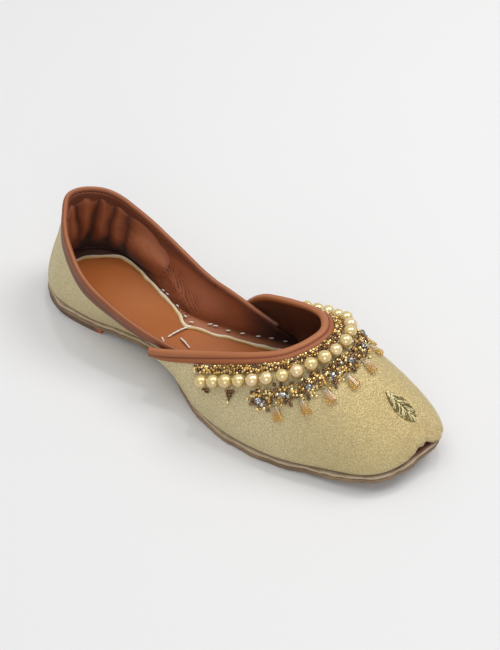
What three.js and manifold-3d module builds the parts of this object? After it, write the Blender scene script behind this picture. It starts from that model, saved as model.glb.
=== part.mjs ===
import * as THREE from 'three';
import { mergeVertices } from 'three/addons/utils/BufferGeometryUtils.js';
import Module from 'manifold-3d';

// A right-foot mojari: a low slip-on shoe with a pointed vamp, an open waist and a high heel quarter.
// +X runs to the toe, +Y to the inner side of the foot and +Z up. Millimetres.
// The origin is the middle of the heel's flat spot on the floor.

const wasm = await Module();
wasm.setup();

// Driving sizes of the last
const footLength = 249;
const ballWidth = 83;
const backHeight = 58.6;
const throatHeight = 52.6;
const heelCentre = 30;

// The sole, from the floor up
const heelLiftHeight = 3.2;
const heelLiftLength = 52;
const heelLiftRim = 0.6;
const outsoleThickness = 2.6;
const outsoleRim = 0.8;
const midsoleThickness = 1.6;
const midsoleRim = 0.5;
const archRise = 2.2;
const toeSpring = 10;
const toeSpringCurve = 1.6;
const toeTuck = 2.4;
const soleEdgeRound = 0.5;
const soleTip = 0.35;

// The upper and what lines it
const upperWall = 1.6;
const wingTuck = 1.1;
const insoleThickness = 1.4;
const insoleClearance = 0.8;
const sockThickness = 1.2;
const sockMargin = 0.8;
const heelPadThickness = 3.2;
const heelPadEdge = 0.9;
const heelPadTopDepth = 12;

// The edge bindings
const bindingThickness = 0.8;
const quarterBindingDepth = 8.4;
const vampBindingDepth = 6;
const bindingInnerDepth = 3;

// The trim round the throat
const beadBandWidth = 4.2;
const beadBandThickness = 1.6;
const pearlDiameter = 7;
const pearlPitch = 7.5;
const flowerDiameter = 10;
const flowerHeight = 3.4;
const flowerPitch = 13;
const flowerSpacing = 1.2;
const dropLength = 9.3;
const dropWidth = 5.2;
const dropThickness = 2.4;
const dropTuck = 1.8;
const leafDepth = 46;
const leafLength = 21;
const leafWidth = 8.6;
const leafThickness = 1;

// Clearances
const seatGap = 0.3;
const skinGap = 0.3;
const bindingGap = 0.4;
const trimSpacing = 0.5;

// How much nearer the edge the trim runs at the middle of the throat, and over how many places
const throatDraw = { share: 0.07, span: 3 };

// Foot line, where the upper meets the sole: x in foot lengths, y in ball widths from the heel's centre line.
// It runs from the back of the heel along the outer side to the toe, and home along the inner side.
const footLine = table(['x', 'y'], [
  [0.000, 0.018], [0.024, -0.199], [0.088, -0.307], [0.180, -0.317], [0.281, -0.272], [0.369, -0.283],
  [0.450, -0.380], [0.530, -0.502], [0.626, -0.554], [0.731, -0.532], [0.838, -0.443], [0.929, -0.345],
  [0.978, -0.150], [1.004, 0.098], [0.984, 0.229], [0.932, 0.319], [0.851, 0.392], [0.747, 0.434],
  [0.643, 0.410], [0.546, 0.331], [0.458, 0.217], [0.378, 0.127], [0.289, 0.157], [0.201, 0.253],
  [0.112, 0.319], [0.036, 0.247],
]);
const toeStation = 13;

// The sole is tucked under the toe's point
const toeTuckPlaces = { middle: 13.1, span: 0.95 };

// Sections of the quarter and the vamp. 'at' is the place on the foot line; x, y and z are the top edge, in
// foot lengths, ball widths and the sheet's own height; out and rise lead the skin off the foot line, and
// reach and fall lead it down from the top edge, all four in shares of the sheet's own height.
const sectionColumns = ['at', 'x', 'y', 'z', 'out', 'rise', 'reach', 'fall'];
const quarterSections = table(sectionColumns, [
  [-7.5, 0.570, 0.240, 0.432, 0.02, 0.13, 0.02, 0.13],
  [-7.0, 0.530, 0.243, 0.453, 0.02, 0.14, 0.02, 0.14],
  [-6.0, 0.450, 0.262, 0.490, 0.02, 0.14, 0.02, 0.14],
  [-5.0, 0.369, 0.277, 0.535, 0.02, 0.15, 0.03, 0.15],
  [-4.0, 0.281, 0.320, 0.628, 0.03, 0.17, 0.03, 0.19],
  [-3.0, 0.185, 0.350, 0.760, 0.05, 0.22, 0.04, 0.24],
  [-2.0, 0.096, 0.330, 0.906, 0.05, 0.24, 0.04, 0.29],
  [-1.0, 0.044, 0.226, 0.974, 0.04, 0.24, 0.03, 0.31],
  [0.0, 0.024, 0.084, 0.992, 0.04, 0.24, 0.03, 0.31],
  [1.0, 0.050, -0.058, 0.970, 0.04, 0.24, 0.03, 0.31],
  [2.0, 0.102, -0.226, 0.910, 0.05, 0.24, 0.03, 0.29],
  [3.0, 0.185, -0.368, 0.770, 0.05, 0.22, 0.04, 0.24],
  [4.0, 0.281, -0.404, 0.635, 0.03, 0.17, 0.03, 0.19],
  [5.0, 0.369, -0.399, 0.543, 0.02, 0.15, 0.03, 0.15],
  [6.0, 0.450, -0.374, 0.488, 0.02, 0.14, 0.02, 0.14],
  [7.0, 0.530, -0.356, 0.453, 0.02, 0.14, 0.02, 0.14],
  [7.5, 0.570, -0.350, 0.432, 0.02, 0.13, 0.02, 0.13],
]);
const vampSections = table(sectionColumns, [
  [5.4, 0.394, -0.476, 0.565, 0.10, 0.15, 0.02, 0.15],
  [6.0, 0.426, -0.455, 0.605, 0.12, 0.17, 0.03, 0.17],
  [7.0, 0.482, -0.396, 0.681, 0.12, 0.23, 0.08, 0.19],
  [8.0, 0.550, -0.322, 0.779, 0.10, 0.29, 0.17, 0.13],
  [9.0, 0.612, -0.258, 0.875, 0.10, 0.30, 0.29, 0.10],
  [10.0, 0.659, -0.181, 0.945, 0.10, 0.29, 0.40, 0.07],
  [11.0, 0.684, -0.088, 0.979, 0.08, 0.25, 0.48, 0.06],
  [12.0, 0.698, 0.012, 0.996, 0.07, 0.19, 0.53, 0.07],
  [13.0, 0.702, 0.098, 0.998, 0.05, 0.13, 0.53, 0.09],
  [14.0, 0.693, 0.165, 0.985, 0.05, 0.17, 0.46, 0.16],
  [15.0, 0.675, 0.227, 0.955, 0.05, 0.21, 0.33, 0.20],
  [16.0, 0.646, 0.270, 0.905, 0.06, 0.25, 0.21, 0.22],
  [17.0, 0.598, 0.292, 0.830, 0.06, 0.27, 0.13, 0.22],
  [18.0, 0.546, 0.296, 0.747, 0.06, 0.25, 0.09, 0.20],
  [18.5, 0.519, 0.301, 0.686, 0.06, 0.23, 0.07, 0.19],
  [19.0, 0.495, 0.306, 0.594, 0.06, 0.19, 0.05, 0.17],
  [19.4, 0.478, 0.312, 0.500, 0.05, 0.14, 0.03, 0.13],
  [19.7, 0.466, 0.317, 0.422, 0.04, 0.10, 0.02, 0.10],
]);

// Inner edge of the sock, as a share of the way across the insole from its outer side
const sockSections = table(['x', 'reach'], [
  [0.036, 0.66], [0.042, 0.79], [0.054, 0.88], [0.087, 0.95], [0.126, 0.98], [0.175, 0.98], [0.214, 0.98],
  [0.257, 0.98], [0.301, 0.97], [0.337, 0.90], [0.372, 0.77], [0.413, 0.84], [0.446, 0.86], [0.514, 0.86],
  [0.581, 0.87], [0.660, 0.90], [0.740, 0.92], [0.820, 0.94], [0.880, 0.95], [0.920, 0.96],
]);

const underTheWaist = { heelEnd: 0.24, treadStart: 0.53, treadEnd: 0.72 };

const quarterEnd = quarterSections.at(-1).at;

// Places from the heel where the vamp's wings begin to cover the quarter, and where they cover it fully
const wingCover = { outer: { start: 4.6, full: 5.4 }, inner: { start: 5.2, full: 6.3 } };

function table(columns, rows) {
  return rows.map((row) => Object.fromEntries(columns.map((column, i) => [column, row[i]])));
}

// Smooth value of each named column at a place between the rows, where key is the column that steps
function between(rows, key, at) {
  const last = rows.length - 1;
  let i = rows.findIndex((row) => row[key] > at) - 1;
  if (i < 0) i = at < rows[0][key] ? 0 : last - 1;
  const slope = (k, column) => {
    const rise = (a) => (rows[a + 1][column] - rows[a][column]) / (rows[a + 1][key] - rows[a][key]);
    if (k === 0) return rise(0);
    if (k === last) return rise(last - 1);
    const before = rows[k][key] - rows[k - 1][key];
    const after = rows[k + 1][key] - rows[k][key];
    return (rise(k - 1) * after + rise(k) * before) / (before + after);
  };
  const span = rows[i + 1][key] - rows[i][key];
  const t = (at - rows[i][key]) / span;
  const value = {};
  for (const column of Object.keys(rows[0])) {
    value[column] = (1 + 2 * t) * (1 - t) ** 2 * rows[i][column]
      + t * (1 - t) ** 2 * span * slope(i, column)
      + t * t * (3 - 2 * t) * rows[i + 1][column]
      + t * t * (t - 1) * span * slope(i + 1, column);
  }
  return value;
}

function smoothStep(low, high, x) {
  const t = THREE.MathUtils.clamp((x - low) / (high - low), 0, 1);
  return t * t * (3 - 2 * t);
}

const footRows = [];
for (let i = -3; i <= footLine.length + 3; i += 1) {
  const row = footLine[(i + footLine.length) % footLine.length];
  footRows.push({ at: i, x: row.x * footLength, y: row.y * ballWidth });
}

function footPoint(at) {
  const place = ((at % footLine.length) + footLine.length) % footLine.length;
  const { x, y } = between(footRows, 'at', place);
  return new THREE.Vector2(x, y);
}

// Outward direction, in plan, of a curve of places
function planNormal(curve, at) {
  const step = 0.02;
  const along = curve(at + step).sub(curve(at - step));
  return new THREE.Vector2(along.y, -along.x).normalize();
}

// Heights of the sole at a distance from the back of the heel
const outsoleLift = heelLiftHeight + seatGap;

function outsoleUnderside(x) {
  const share = x / footLength;
  const { heelEnd, treadStart, treadEnd } = underTheWaist;
  const waist = THREE.MathUtils.clamp((share - heelEnd) / (treadStart - heelEnd), 0, 1);
  const spring = Math.max(0, (share - treadEnd) / (1 - treadEnd));
  return outsoleLift * (1 - smoothStep(heelEnd, treadStart, share))
    + archRise * Math.sin(Math.PI * waist) ** 2
    + toeSpring * spring ** toeSpringCurve;
}

function midsoleUnderside(x) {
  return outsoleUnderside(x) + outsoleThickness + seatGap;
}

function footHeight(x) {
  return midsoleUnderside(x) + midsoleThickness + seatGap;
}

// Share of the wings' cover at a place, which is negative along the inner side
function coverAt(at) {
  const { start, full } = at < 0 ? wingCover.inner : wingCover.outer;
  return smoothStep(start, full, Math.abs(at));
}

// The quarter sits inside the vamp's wings, so its foot line is tucked in along the waist
const quarter = { rows: quarterSections, height: backHeight, tuck: (at) => wingTuck * coverAt(at) };
const vamp = { rows: vampSections, height: throatHeight, tuck: () => 0 };

function topPoint(sheet, at) {
  const { x, y, z } = between(sheet.rows, 'at', at);
  return new THREE.Vector3(x * footLength, y * ballWidth, z * sheet.height);
}

// The four control points of a section, from the foot line up to the top edge
function sectionAt(sheet, at) {
  const { out, rise, reach, fall } = between(sheet.rows, 'at', at);
  const footOut = planNormal(footPoint, at);
  const topOut = planNormal((place) => new THREE.Vector2().copy(topPoint(sheet, place)), at);
  const base = footPoint(at).addScaledVector(footOut, -sheet.tuck(at));
  const foot = new THREE.Vector3(base.x, base.y, footHeight(base.x));
  const top = topPoint(sheet, at);
  const lower = foot.clone();
  lower.x += footOut.x * out * sheet.height;
  lower.y += footOut.y * out * sheet.height;
  lower.z += rise * sheet.height;
  const upper = top.clone();
  upper.x += topOut.x * reach * sheet.height;
  upper.y += topOut.y * reach * sheet.height;
  upper.z -= fall * sheet.height;
  return new THREE.CubicBezierCurve3(foot, lower, upper, top);
}

// Point of a sheet's outer skin: 'up' is 0 at the foot line and 1 at the top edge, and lift is outwards
function skinPoint(sheet, at, up, lift = 0) {
  const step = 0.01;
  const section = sectionAt(sheet, at);
  const point = section.getPoint(up);
  if (lift === 0) return point;
  const across = section.getPoint(Math.min(up + step, 1)).sub(section.getPoint(Math.max(up - step, 0)));
  const along = sectionAt(sheet, at + step).getPoint(up).sub(sectionAt(sheet, at - step).getPoint(up));
  const outward = along.cross(across).normalize();
  outward.z *= smoothStep(0, 0.2, up);
  return point.addScaledVector(outward.normalize(), lift);
}

// The same by depth below the top edge, measured over the skin
function skinBelowTop(sheet, at, depth, lift = 0) {
  const steps = 40;
  const section = sectionAt(sheet, at);
  let up = 1;
  let left = depth;
  let previous = section.getPoint(1);
  for (let i = steps - 1; i >= 0 && left > 0; i -= 1) {
    const next = section.getPoint(i / steps);
    const run = previous.distanceTo(next);
    up = left < run ? (i + 1 - left / run) / steps : i / steps;
    left -= run;
    previous = next;
  }
  const point = skinPoint(sheet, at, up, lift);
  if (depth >= 0) return point;
  const rise = section.getPoint(1).sub(section.getPoint(0.98)).normalize();
  return point.addScaledVector(rise, -depth);
}

function stations(from, to, count) {
  return Array.from({ length: count + 1 }, (_, i) => from + ((to - from) * i) / count);
}

// Closed body between two sheets of points, each a list of rows with the same number of points
function bodyBetween(front, back) {
  const rows = front.length;
  const columns = front[0].length;
  const points = [...front.flat(), ...back.flat()];
  const faces = [];
  const frontAt = (i, j) => i * columns + j;
  const backAt = (i, j) => rows * columns + i * columns + j;
  const quad = (a, b, c, d) => faces.push([a, b, c], [a, c, d]);
  for (let i = 0; i < rows - 1; i += 1) {
    for (let j = 0; j < columns - 1; j += 1) {
      quad(frontAt(i, j), frontAt(i + 1, j), frontAt(i + 1, j + 1), frontAt(i, j + 1));
      quad(backAt(i, j), backAt(i, j + 1), backAt(i + 1, j + 1), backAt(i + 1, j));
    }
    quad(frontAt(i, 0), backAt(i, 0), backAt(i + 1, 0), frontAt(i + 1, 0));
    quad(frontAt(i, columns - 1), frontAt(i + 1, columns - 1), backAt(i + 1, columns - 1), backAt(i, columns - 1));
  }
  for (let j = 0; j < columns - 1; j += 1) {
    quad(frontAt(0, j), frontAt(0, j + 1), backAt(0, j + 1), backAt(0, j));
    quad(frontAt(rows - 1, j), backAt(rows - 1, j), backAt(rows - 1, j + 1), frontAt(rows - 1, j + 1));
  }
  return closedGeometry(points, faces);
}

// Geometry from shared points and triangles, turned so that its faces point out
function closedGeometry(points, faces) {
  let volume = 0;
  for (const [a, b, c] of faces) {
    volume += points[a].dot(new THREE.Vector3().crossVectors(points[b], points[c]));
  }
  const order = volume < 0 ? faces.map(([a, b, c]) => [a, c, b]) : faces;
  const geometry = new THREE.BufferGeometry();
  const positions = new Float32Array(points.flatMap((point) => point.toArray()));
  geometry.setAttribute('position', new THREE.BufferAttribute(positions, 3));
  geometry.setIndex(order.flat());
  return geometry;
}

function solidOf(geometry) {
  const merged = mergeVertices(geometry, 1e-4);
  return new wasm.Manifold(new wasm.Mesh({
    numProp: 3,
    vertProperties: merged.attributes.position.array,
    triVerts: new Uint32Array(merged.index.array),
  }));
}

function geometryOf(solid) {
  const mesh = solid.getMesh();
  const geometry = new THREE.BufferGeometry();
  geometry.setAttribute('position', new THREE.BufferAttribute(mesh.vertProperties, 3));
  geometry.setIndex(new THREE.BufferAttribute(mesh.triVerts, 1));
  return geometry;
}

// Slab layers of the sole

const soleStations = stations(0, Math.PI, 32).map((turn) => (footLength * (1 - Math.cos(turn))) / 2);

// Points of the foot line, each moved outwards by the offset at its place
function footOutline(offsetAt) {
  return stations(0, footLine.length, footLine.length * 8).map((at) => {
    return footPoint(at).addScaledVector(planNormal(footPoint, at), offsetAt(at));
  });
}

function rimAt(rim) {
  const { middle, span } = toeTuckPlaces;
  return (at) => rim - toeTuck * Math.exp(-(((at - middle) / span) ** 2));
}

function edgesAt(outline, x) {
  const hits = [];
  for (let i = 1; i < outline.length; i += 1) {
    const [a, b] = [outline[i - 1], outline[i]];
    if ((a.x - x) * (b.x - x) <= 0 && a.x !== b.x) hits.push(a.y + ((b.y - a.y) * (x - a.x)) / (b.x - a.x));
  }
  return { outer: Math.min(...hits), inner: Math.max(...hits) };
}

function soleLayer(offsetAt, underside, thickness, end = Infinity) {
  const outline = footOutline(offsetAt);
  const first = Math.min(...outline.map((point) => point.x)) + soleTip;
  const last = Math.min(Math.max(...outline.map((point) => point.x)) - soleTip, end);
  const inside = soleStations.filter((x) => x > first + soleTip && x < last - soleTip);
  const flat = 0.94;
  const across = [-1, -flat, flat, 1];
  const face = (height) => [first, ...inside, last].map((x) => {
    const { outer, inner } = edgesAt(outline, x);
    return across.map((share) => {
      const y = (inner + outer) / 2 + ((inner - outer) / 2) * share;
      return new THREE.Vector3(x, y, height(x, Math.abs(share) === 1));
    });
  });
  return bodyBetween(
    face((x, edge) => underside(x) + thickness - (edge ? soleEdgeRound : 0)),
    face((x, edge) => underside(x) + (edge ? soleEdgeRound : 0)),
  );
}

function heelLift() {
  return soleLayer(rimAt(heelLiftRim), () => 0, heelLiftHeight, heelLiftLength);
}

// Distance in from the foot line to clear the wall, which is doubled along the wings
function insideOfWall(at) {
  const place = at > toeStation ? at - footLine.length : at;
  return upperWall + insoleClearance
    + wingTuck * coverAt(place) * smoothStep(quarterEnd + 1, quarterEnd + 0.3, Math.abs(place));
}

function insole() {
  return soleLayer((at) => -insideOfWall(at), footHeight, insoleThickness);
}

// The sock lies on the insole and narrows at the waist
function sock() {
  const outline = footOutline((at) => -insideOfWall(at) - sockMargin);
  const bottom = (x) => footHeight(x) + insoleThickness + seatGap;
  const face = (lift) => sockSections.map(({ x: share, reach }) => {
    const x = share * footLength;
    const { outer, inner } = edgesAt(outline, x);
    return [0, 0.5, 1].map((side) => {
      return new THREE.Vector3(x, outer + (inner - outer) * reach * side, bottom(x) + lift);
    });
  });
  return bodyBetween(face(sockThickness), face(0));
}

// The upper

// Places along a sheet, closer together round its middle, where it bends most
function closingPlaces(from, to, count) {
  const middle = (from + to) / 2;
  const evenness = 0.75;
  return stations(-1, 1, count).map((t) => {
    return middle + ((to - from) / 2) * (evenness * t + (1 - evenness) * t ** 3);
  });
}

function sheetBody(sheet, places, rows) {
  const firstStep = 1.4;
  const ups = stations(0, 1, rows).map((t) => t * (firstStep + (1 - firstStep) * t));
  const face = (lift) => places.map((at) => ups.map((up) => skinPoint(sheet, at, up, lift)));
  return bodyBetween(face(0), face(-upperWall));
}

const vampStart = vampSections[0].at;
const vampEnd = vampSections.at(-1).at;
const quarterPlaces = closingPlaces(-quarterEnd, quarterEnd, 36);
const vampPlaces = closingPlaces(vampStart, vampEnd, 44);

function upper() {
  const back = solidOf(sheetBody(quarter, quarterPlaces, 8));
  const front = solidOf(sheetBody(vamp, vampPlaces, 9));
  return geometryOf(back.add(front));
}

// A folded strip over a top edge, with a leg down each side of the wall
function binding(sheet, places, outerDepthAt) {
  const inside = upperWall + bindingGap;
  const face = (thickness) => places.map((at) => {
    const outerDepth = outerDepthAt(at);
    const line = [
      [outerDepth, bindingGap + thickness], [outerDepth / 2, bindingGap + thickness], [0, bindingGap + thickness],
      [-seatGap - thickness, -upperWall / 2], [0, -inside - thickness], [bindingInnerDepth, -inside - thickness],
    ];
    return line.map(([depth, lift]) => skinBelowTop(sheet, at, depth, lift));
  });
  return bodyBetween(face(bindingThickness), face(0));
}

// The quarter's outer leg is cut short where the vamp's wing covers it
function quarterBindingDepthAt(at) {
  return quarterBindingDepth + (bindingInnerDepth - quarterBindingDepth) * coverAt(at);
}

// Padded lining of the heel, thick in the middle and thin at its edges
function heelPad() {
  const places = quarterPlaces.slice(7, -7);
  const end = places.at(-1);
  const lowestUp = 0.1;
  const face = (lift) => places.map((at) => {
    return stations(0, 1, 5).map((share) => {
      const top = skinBelowTop(quarter, at, heelPadTopDepth).z;
      const section = sectionAt(quarter, at);
      let highestUp = 1;
      while (section.getPoint(highestUp).z > top) highestUp -= 0.01;
      const fullness = Math.sin(Math.PI * share) * Math.cos((at / end) * (Math.PI / 2)) ** 0.5;
      return skinPoint(quarter, at, lowestUp + (highestUp - lowestUp) * share, lift(Math.max(fullness, 0)));
    });
  });
  const back = -upperWall - skinGap;
  return bodyBetween(
    face(() => back),
    face((fullness) => back - heelPadEdge - (heelPadThickness - heelPadEdge) * fullness),
  );
}

// The throat trim

// First and last places of each row along the vamp
const beadBandSpan = [7.25, 17.6];
const pearlSpan = [7.5, 17.5];
const flowerSpan = [9.05, 15.95];

function drawn(depth, at) {
  const { share, span } = throatDraw;
  return depth * (1 - share * Math.exp(-(((at - toeStation) / span) ** 2)));
}

const beadBandDepth = vampBindingDepth + trimSpacing;
const pearlDepth = beadBandDepth + beadBandWidth + trimSpacing + pearlDiameter / 2;
const flowerDepth = pearlDepth + pearlDiameter / 2 + flowerSpacing + flowerDiameter / 2;
const dropDepth = flowerDepth + flowerDiameter / 2 - dropTuck;

// Thickness of the band's edges, as a share of its middle's
const beadBandEdge = 0.75;

function beadBand() {
  const [first, last] = beadBandSpan;
  const places = [first, ...vampPlaces.filter((at) => at > first && at < last), last];
  const depths = [beadBandDepth, beadBandDepth + beadBandWidth / 2, beadBandDepth + beadBandWidth];
  const crown = [beadBandEdge, 1, beadBandEdge];
  const face = (lift) => places.map((at) => {
    return depths.map((depth, i) => skinBelowTop(vamp, at, drawn(depth, at), lift(crown[i])));
  });
  return bodyBetween(face((share) => skinGap + beadBandThickness * share), face(() => skinGap));
}

// Places along the vamp at even steps, measured over the skin at one depth, and centred on the toe line
function evenPlaces(depth, pitch, from, to) {
  const places = stations(from, to, 300);
  const runs = [0];
  for (let i = 1; i < places.length; i += 1) {
    const [here, before] = [places[i], places[i - 1]].map((at) => skinBelowTop(vamp, at, drawn(depth, at)));
    runs.push(runs[i - 1] + here.distanceTo(before));
  }
  const total = runs.at(-1);
  const count = Math.floor(total / pitch);
  return stations((total - count * pitch) / 2, (total + count * pitch) / 2, count).map((run) => {
    const i = Math.max(1, runs.findIndex((value) => value >= run));
    return places[i - 1] + ((places[i] - places[i - 1]) * (run - runs[i - 1])) / (runs[i] - runs[i - 1]);
  });
}

// Stands a piece on the vamp's skin, with its own +Z outwards and its own -Y down towards the foot line
function placeOnVamp(geometry, at, fullDepth, lift) {
  const step = 0.5;
  const depth = drawn(fullDepth, at);
  const seat = skinBelowTop(vamp, at, depth, lift);
  const outward = skinBelowTop(vamp, at, depth, lift + 1).sub(seat).normalize();
  const uphill = skinBelowTop(vamp, at, depth - step, lift).sub(skinBelowTop(vamp, at, depth + step, lift));
  uphill.addScaledVector(outward, -uphill.dot(outward)).normalize();
  const sideways = new THREE.Vector3().crossVectors(uphill, outward);
  const placing = new THREE.Matrix4().makeBasis(sideways, uphill, outward).setPosition(seat);
  return geometry.applyMatrix4(placing);
}

function pearl() {
  const geometry = new THREE.SphereGeometry(pearlDiameter / 2, 8, 5);
  geometry.deleteAttribute('normal');
  geometry.deleteAttribute('uv');
  geometry.translate(0, 0, pearlDiameter / 2);
  return geometry;
}

// A six-petalled cluster with a raised middle stone
function beadFlower() {
  const rings = [
    { radius: 0.8, petal: 0.12, height: 0 }, { radius: 1, petal: 0.14, height: 0.25 },
    { radius: 0.74, petal: 0.1, height: 0.7 }, { radius: 0.36, petal: 0, height: 0.6 },
    { radius: 0.3, petal: 0, height: 0.9 },
  ];
  const petals = 6;
  const sides = petals * 2;
  const points = [new THREE.Vector3(0, 0, 0)];
  for (const { radius, petal, height } of rings) {
    for (let k = 0; k < sides; k += 1) {
      const turn = (k * 2 * Math.PI) / sides;
      const reach = ((1 - petal + petal * Math.cos(turn * petals)) * radius * flowerDiameter) / 2;
      points.push(new THREE.Vector3(reach * Math.cos(turn), reach * Math.sin(turn), height * flowerHeight));
    }
  }
  const apex = points.push(new THREE.Vector3(0, 0, flowerHeight)) - 1;
  const faces = [];
  for (let k = 0; k < sides; k += 1) {
    const next = (k + 1) % sides;
    faces.push([0, 1 + next, 1 + k]);
    for (let ring = 0; ring < rings.length - 1; ring += 1) {
      const [a, b] = [1 + ring * sides + k, 1 + ring * sides + next];
      faces.push([a, b, b + sides], [a, b + sides, a + sides]);
    }
    faces.push([apex - sides + k, apex - sides + next, apex]);
  }
  return closedGeometry(points, faces);
}

// A cut-glass drop, narrow at its tie and wide at its foot
function crystalDrop() {
  const rows = [
    { down: 0, width: 0.38, thickness: 0.5 }, { down: 0.86, width: 1, thickness: 1 },
    { down: 1, width: 0.8, thickness: 0.6 },
  ];
  const face = (side) => rows.map(({ down, width, thickness }) => [-1, -0.55, 0.55, 1].map((share) => {
    const inner = Math.abs(share) < 1 ? 1 : 0.4;
    const height = side > 0 ? 0.5 + (thickness * inner) / 2 : 0.5 - (thickness * inner) / 2;
    return new THREE.Vector3((share * width * dropWidth) / 2, -down * dropLength, height * dropThickness);
  }));
  return bodyBetween(face(1), face(-1));
}

// Place of the leaf's point, and how far its stem end is turned from there
const leafPlaces = { start: 12.68, turn: 0.07 };

// Embroidered leaf, pointed towards the throat
function toeLeaf() {
  const rows = [[0, 0.04], [0.18, 0.5], [0.42, 0.92], [0.66, 1], [0.86, 0.72], [1, 0.2]];
  const { start, turn } = leafPlaces;
  const edgeThickness = 0.6 * leafThickness;
  const step = 0.05;
  const face = (lift) => rows.map(([share, half]) => [-1, -0.4, 0.4, 1].map((side) => {
    const depth = leafDepth + leafLength * share;
    const at = start + turn * share;
    const perPlace = skinBelowTop(vamp, at + step, depth).distanceTo(skinBelowTop(vamp, at, depth)) / step;
    return skinBelowTop(vamp, at + (side * half * leafWidth) / (2 * perPlace), depth, lift(Math.abs(side)));
  }));
  return bodyBetween(face((side) => skinGap + (side === 1 ? edgeThickness : leafThickness)), face(() => skinGap));
}

// Finishes

function finish(color, roughness, metalness) {
  return new THREE.MeshStandardMaterial({ color, roughness, metalness });
}

const finishes = {
  goldLeather: finish('#b3a27c', 0.45, 0.35),
  brownLeather: finish('#8a4c34', 0.5, 0),
  liningLeather: finish('#86452c', 0.6, 0),
  sockLeather: finish('#a0562c', 0.5, 0),
  paleSole: finish('#b6a182', 0.7, 0),
  tanSole: finish('#8d7157', 0.75, 0),
  darkSole: finish('#3d2c22', 0.75, 0),
  pearl: finish('#ecd9a6', 0.2, 0),
  beads: finish('#7a6238', 0.3, 0.7),
  crystal: finish('#d3b07c', 0.1, 0),
  thread: finish('#b9b28c', 0.35, 0.6),
};

const shoe = new THREE.Group();
shoe.position.x = -heelCentre;

function add(name, geometry, material) {
  const mesh = new THREE.Mesh(geometry, material);
  mesh.name = name;
  shoe.add(mesh);
}

add('heel_lift', heelLift(), finishes.darkSole);
add('outsole', soleLayer(rimAt(outsoleRim), outsoleUnderside, outsoleThickness), finishes.tanSole);
add('midsole', soleLayer(rimAt(midsoleRim), midsoleUnderside, midsoleThickness), finishes.paleSole);
add('insole', insole(), finishes.liningLeather);
add('sock', sock(), finishes.sockLeather);
add('upper', upper(), finishes.goldLeather);
add('quarter_binding', binding(quarter, quarterPlaces, quarterBindingDepthAt), finishes.brownLeather);
add('vamp_binding', binding(vamp, vampPlaces, () => vampBindingDepth), finishes.brownLeather);
add('heel_pad', heelPad(), finishes.liningLeather);
add('bead_band', beadBand(), finishes.beads);

evenPlaces(pearlDepth, pearlPitch, ...pearlSpan).forEach((at, i) => {
  add(`pearl_${i + 1}`, placeOnVamp(pearl(), at, pearlDepth, skinGap), finishes.pearl);
});

// A cluster at each place, and a drop between each two clusters
const flowerPlaces = evenPlaces(flowerDepth, flowerPitch, ...flowerSpan);
flowerPlaces.forEach((at, i) => {
  add(`flower_${i + 1}`, placeOnVamp(beadFlower(), at, flowerDepth, skinGap), finishes.beads);
});
flowerPlaces.slice(1).forEach((at, i) => {
  const middle = (at + flowerPlaces[i]) / 2;
  add(`drop_${i + 1}`, placeOnVamp(crystalDrop(), middle, dropDepth, skinGap), finishes.crystal);
});
add('toe_leaf', toeLeaf(), finishes.thread);

export default shoe;
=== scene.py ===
import math
import random

import bmesh
import bpy
import numpy as np
from mathutils import Matrix, Vector, noise


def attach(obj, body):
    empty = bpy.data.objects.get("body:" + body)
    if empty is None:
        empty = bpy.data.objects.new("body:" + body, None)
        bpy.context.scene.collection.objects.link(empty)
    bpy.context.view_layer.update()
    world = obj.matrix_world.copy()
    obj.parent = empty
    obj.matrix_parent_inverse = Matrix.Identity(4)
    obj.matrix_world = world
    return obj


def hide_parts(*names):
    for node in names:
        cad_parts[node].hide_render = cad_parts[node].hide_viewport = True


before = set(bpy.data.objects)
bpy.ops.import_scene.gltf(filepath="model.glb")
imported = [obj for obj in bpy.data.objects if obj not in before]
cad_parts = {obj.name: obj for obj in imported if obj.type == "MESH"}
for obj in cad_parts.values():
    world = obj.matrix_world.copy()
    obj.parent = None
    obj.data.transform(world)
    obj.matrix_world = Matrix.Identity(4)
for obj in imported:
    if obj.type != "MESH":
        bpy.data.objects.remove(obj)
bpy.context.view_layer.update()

# A right-foot mojari in pale gold leather, with brown bindings and lining and a beaded throat.
# +X runs to the toe, +Y to the inner side of the foot and +Z up. Metres.

MM = 0.001

# Driving sizes of the last and the sole, as the solids have them
FOOT_LENGTH = 0.249
BALL_WIDTH = 0.083
BACK_HEIGHT = 0.0586
THROAT_HEIGHT = 0.0526
HEEL_CENTRE = 0.030
HEEL_LIFT_HEIGHT = 0.0032
HEEL_LIFT_LENGTH = 0.052
OUTSOLE_THICKNESS = 0.0026
MIDSOLE_THICKNESS = 0.0016
ARCH_RISE = 0.0022
TOE_SPRING = 0.010
TOE_SPRING_POWER = 1.6
TOE_TUCK = 0.0024
SEAT_GAP = 0.0003

# Leather thicknesses
LEATHER = 0.0009
UPPER_WALL = 0.0016
LINING_GAP = 0.00004
WING_TUCK = 0.00175
INSOLE_CLEARANCE = 0.0008
INSOLE_THICKNESS = 0.0014
SOCK_THICKNESS = 0.0012
SOCK_MARGIN = 0.0008

# The trim round the throat
VAMP_BINDING_DEPTH = 0.006
BEAD_BAND_WIDTH = 0.0042
PEARL_DIAMETER = 0.007
PEARL_PITCH = 0.0075
FLOWER_DIAMETER = 0.010
FLOWER_PITCH = 0.013
FLOWER_SPACING = 0.0012
DROP_LENGTH = 0.0093
DROP_WIDTH = 0.0052
DROP_THICKNESS = 0.0024
DROP_TUCK = 0.0018
TRIM_SPACING = 0.0005
THROAT_DRAW = 0.07
SEED_BEAD = 0.0017
STONE = 0.0036
LEAF_DEPTH = 0.046
LEAF_LENGTH = 0.021
LEAF_WIDTH = 0.0086

# First and last places of each row along the vamp
BEAD_BAND_SPAN = (7.25, 17.6)
PEARL_SPAN = (7.5, 17.5)
FLOWER_SPAN = (9.05, 15.95)

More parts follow.
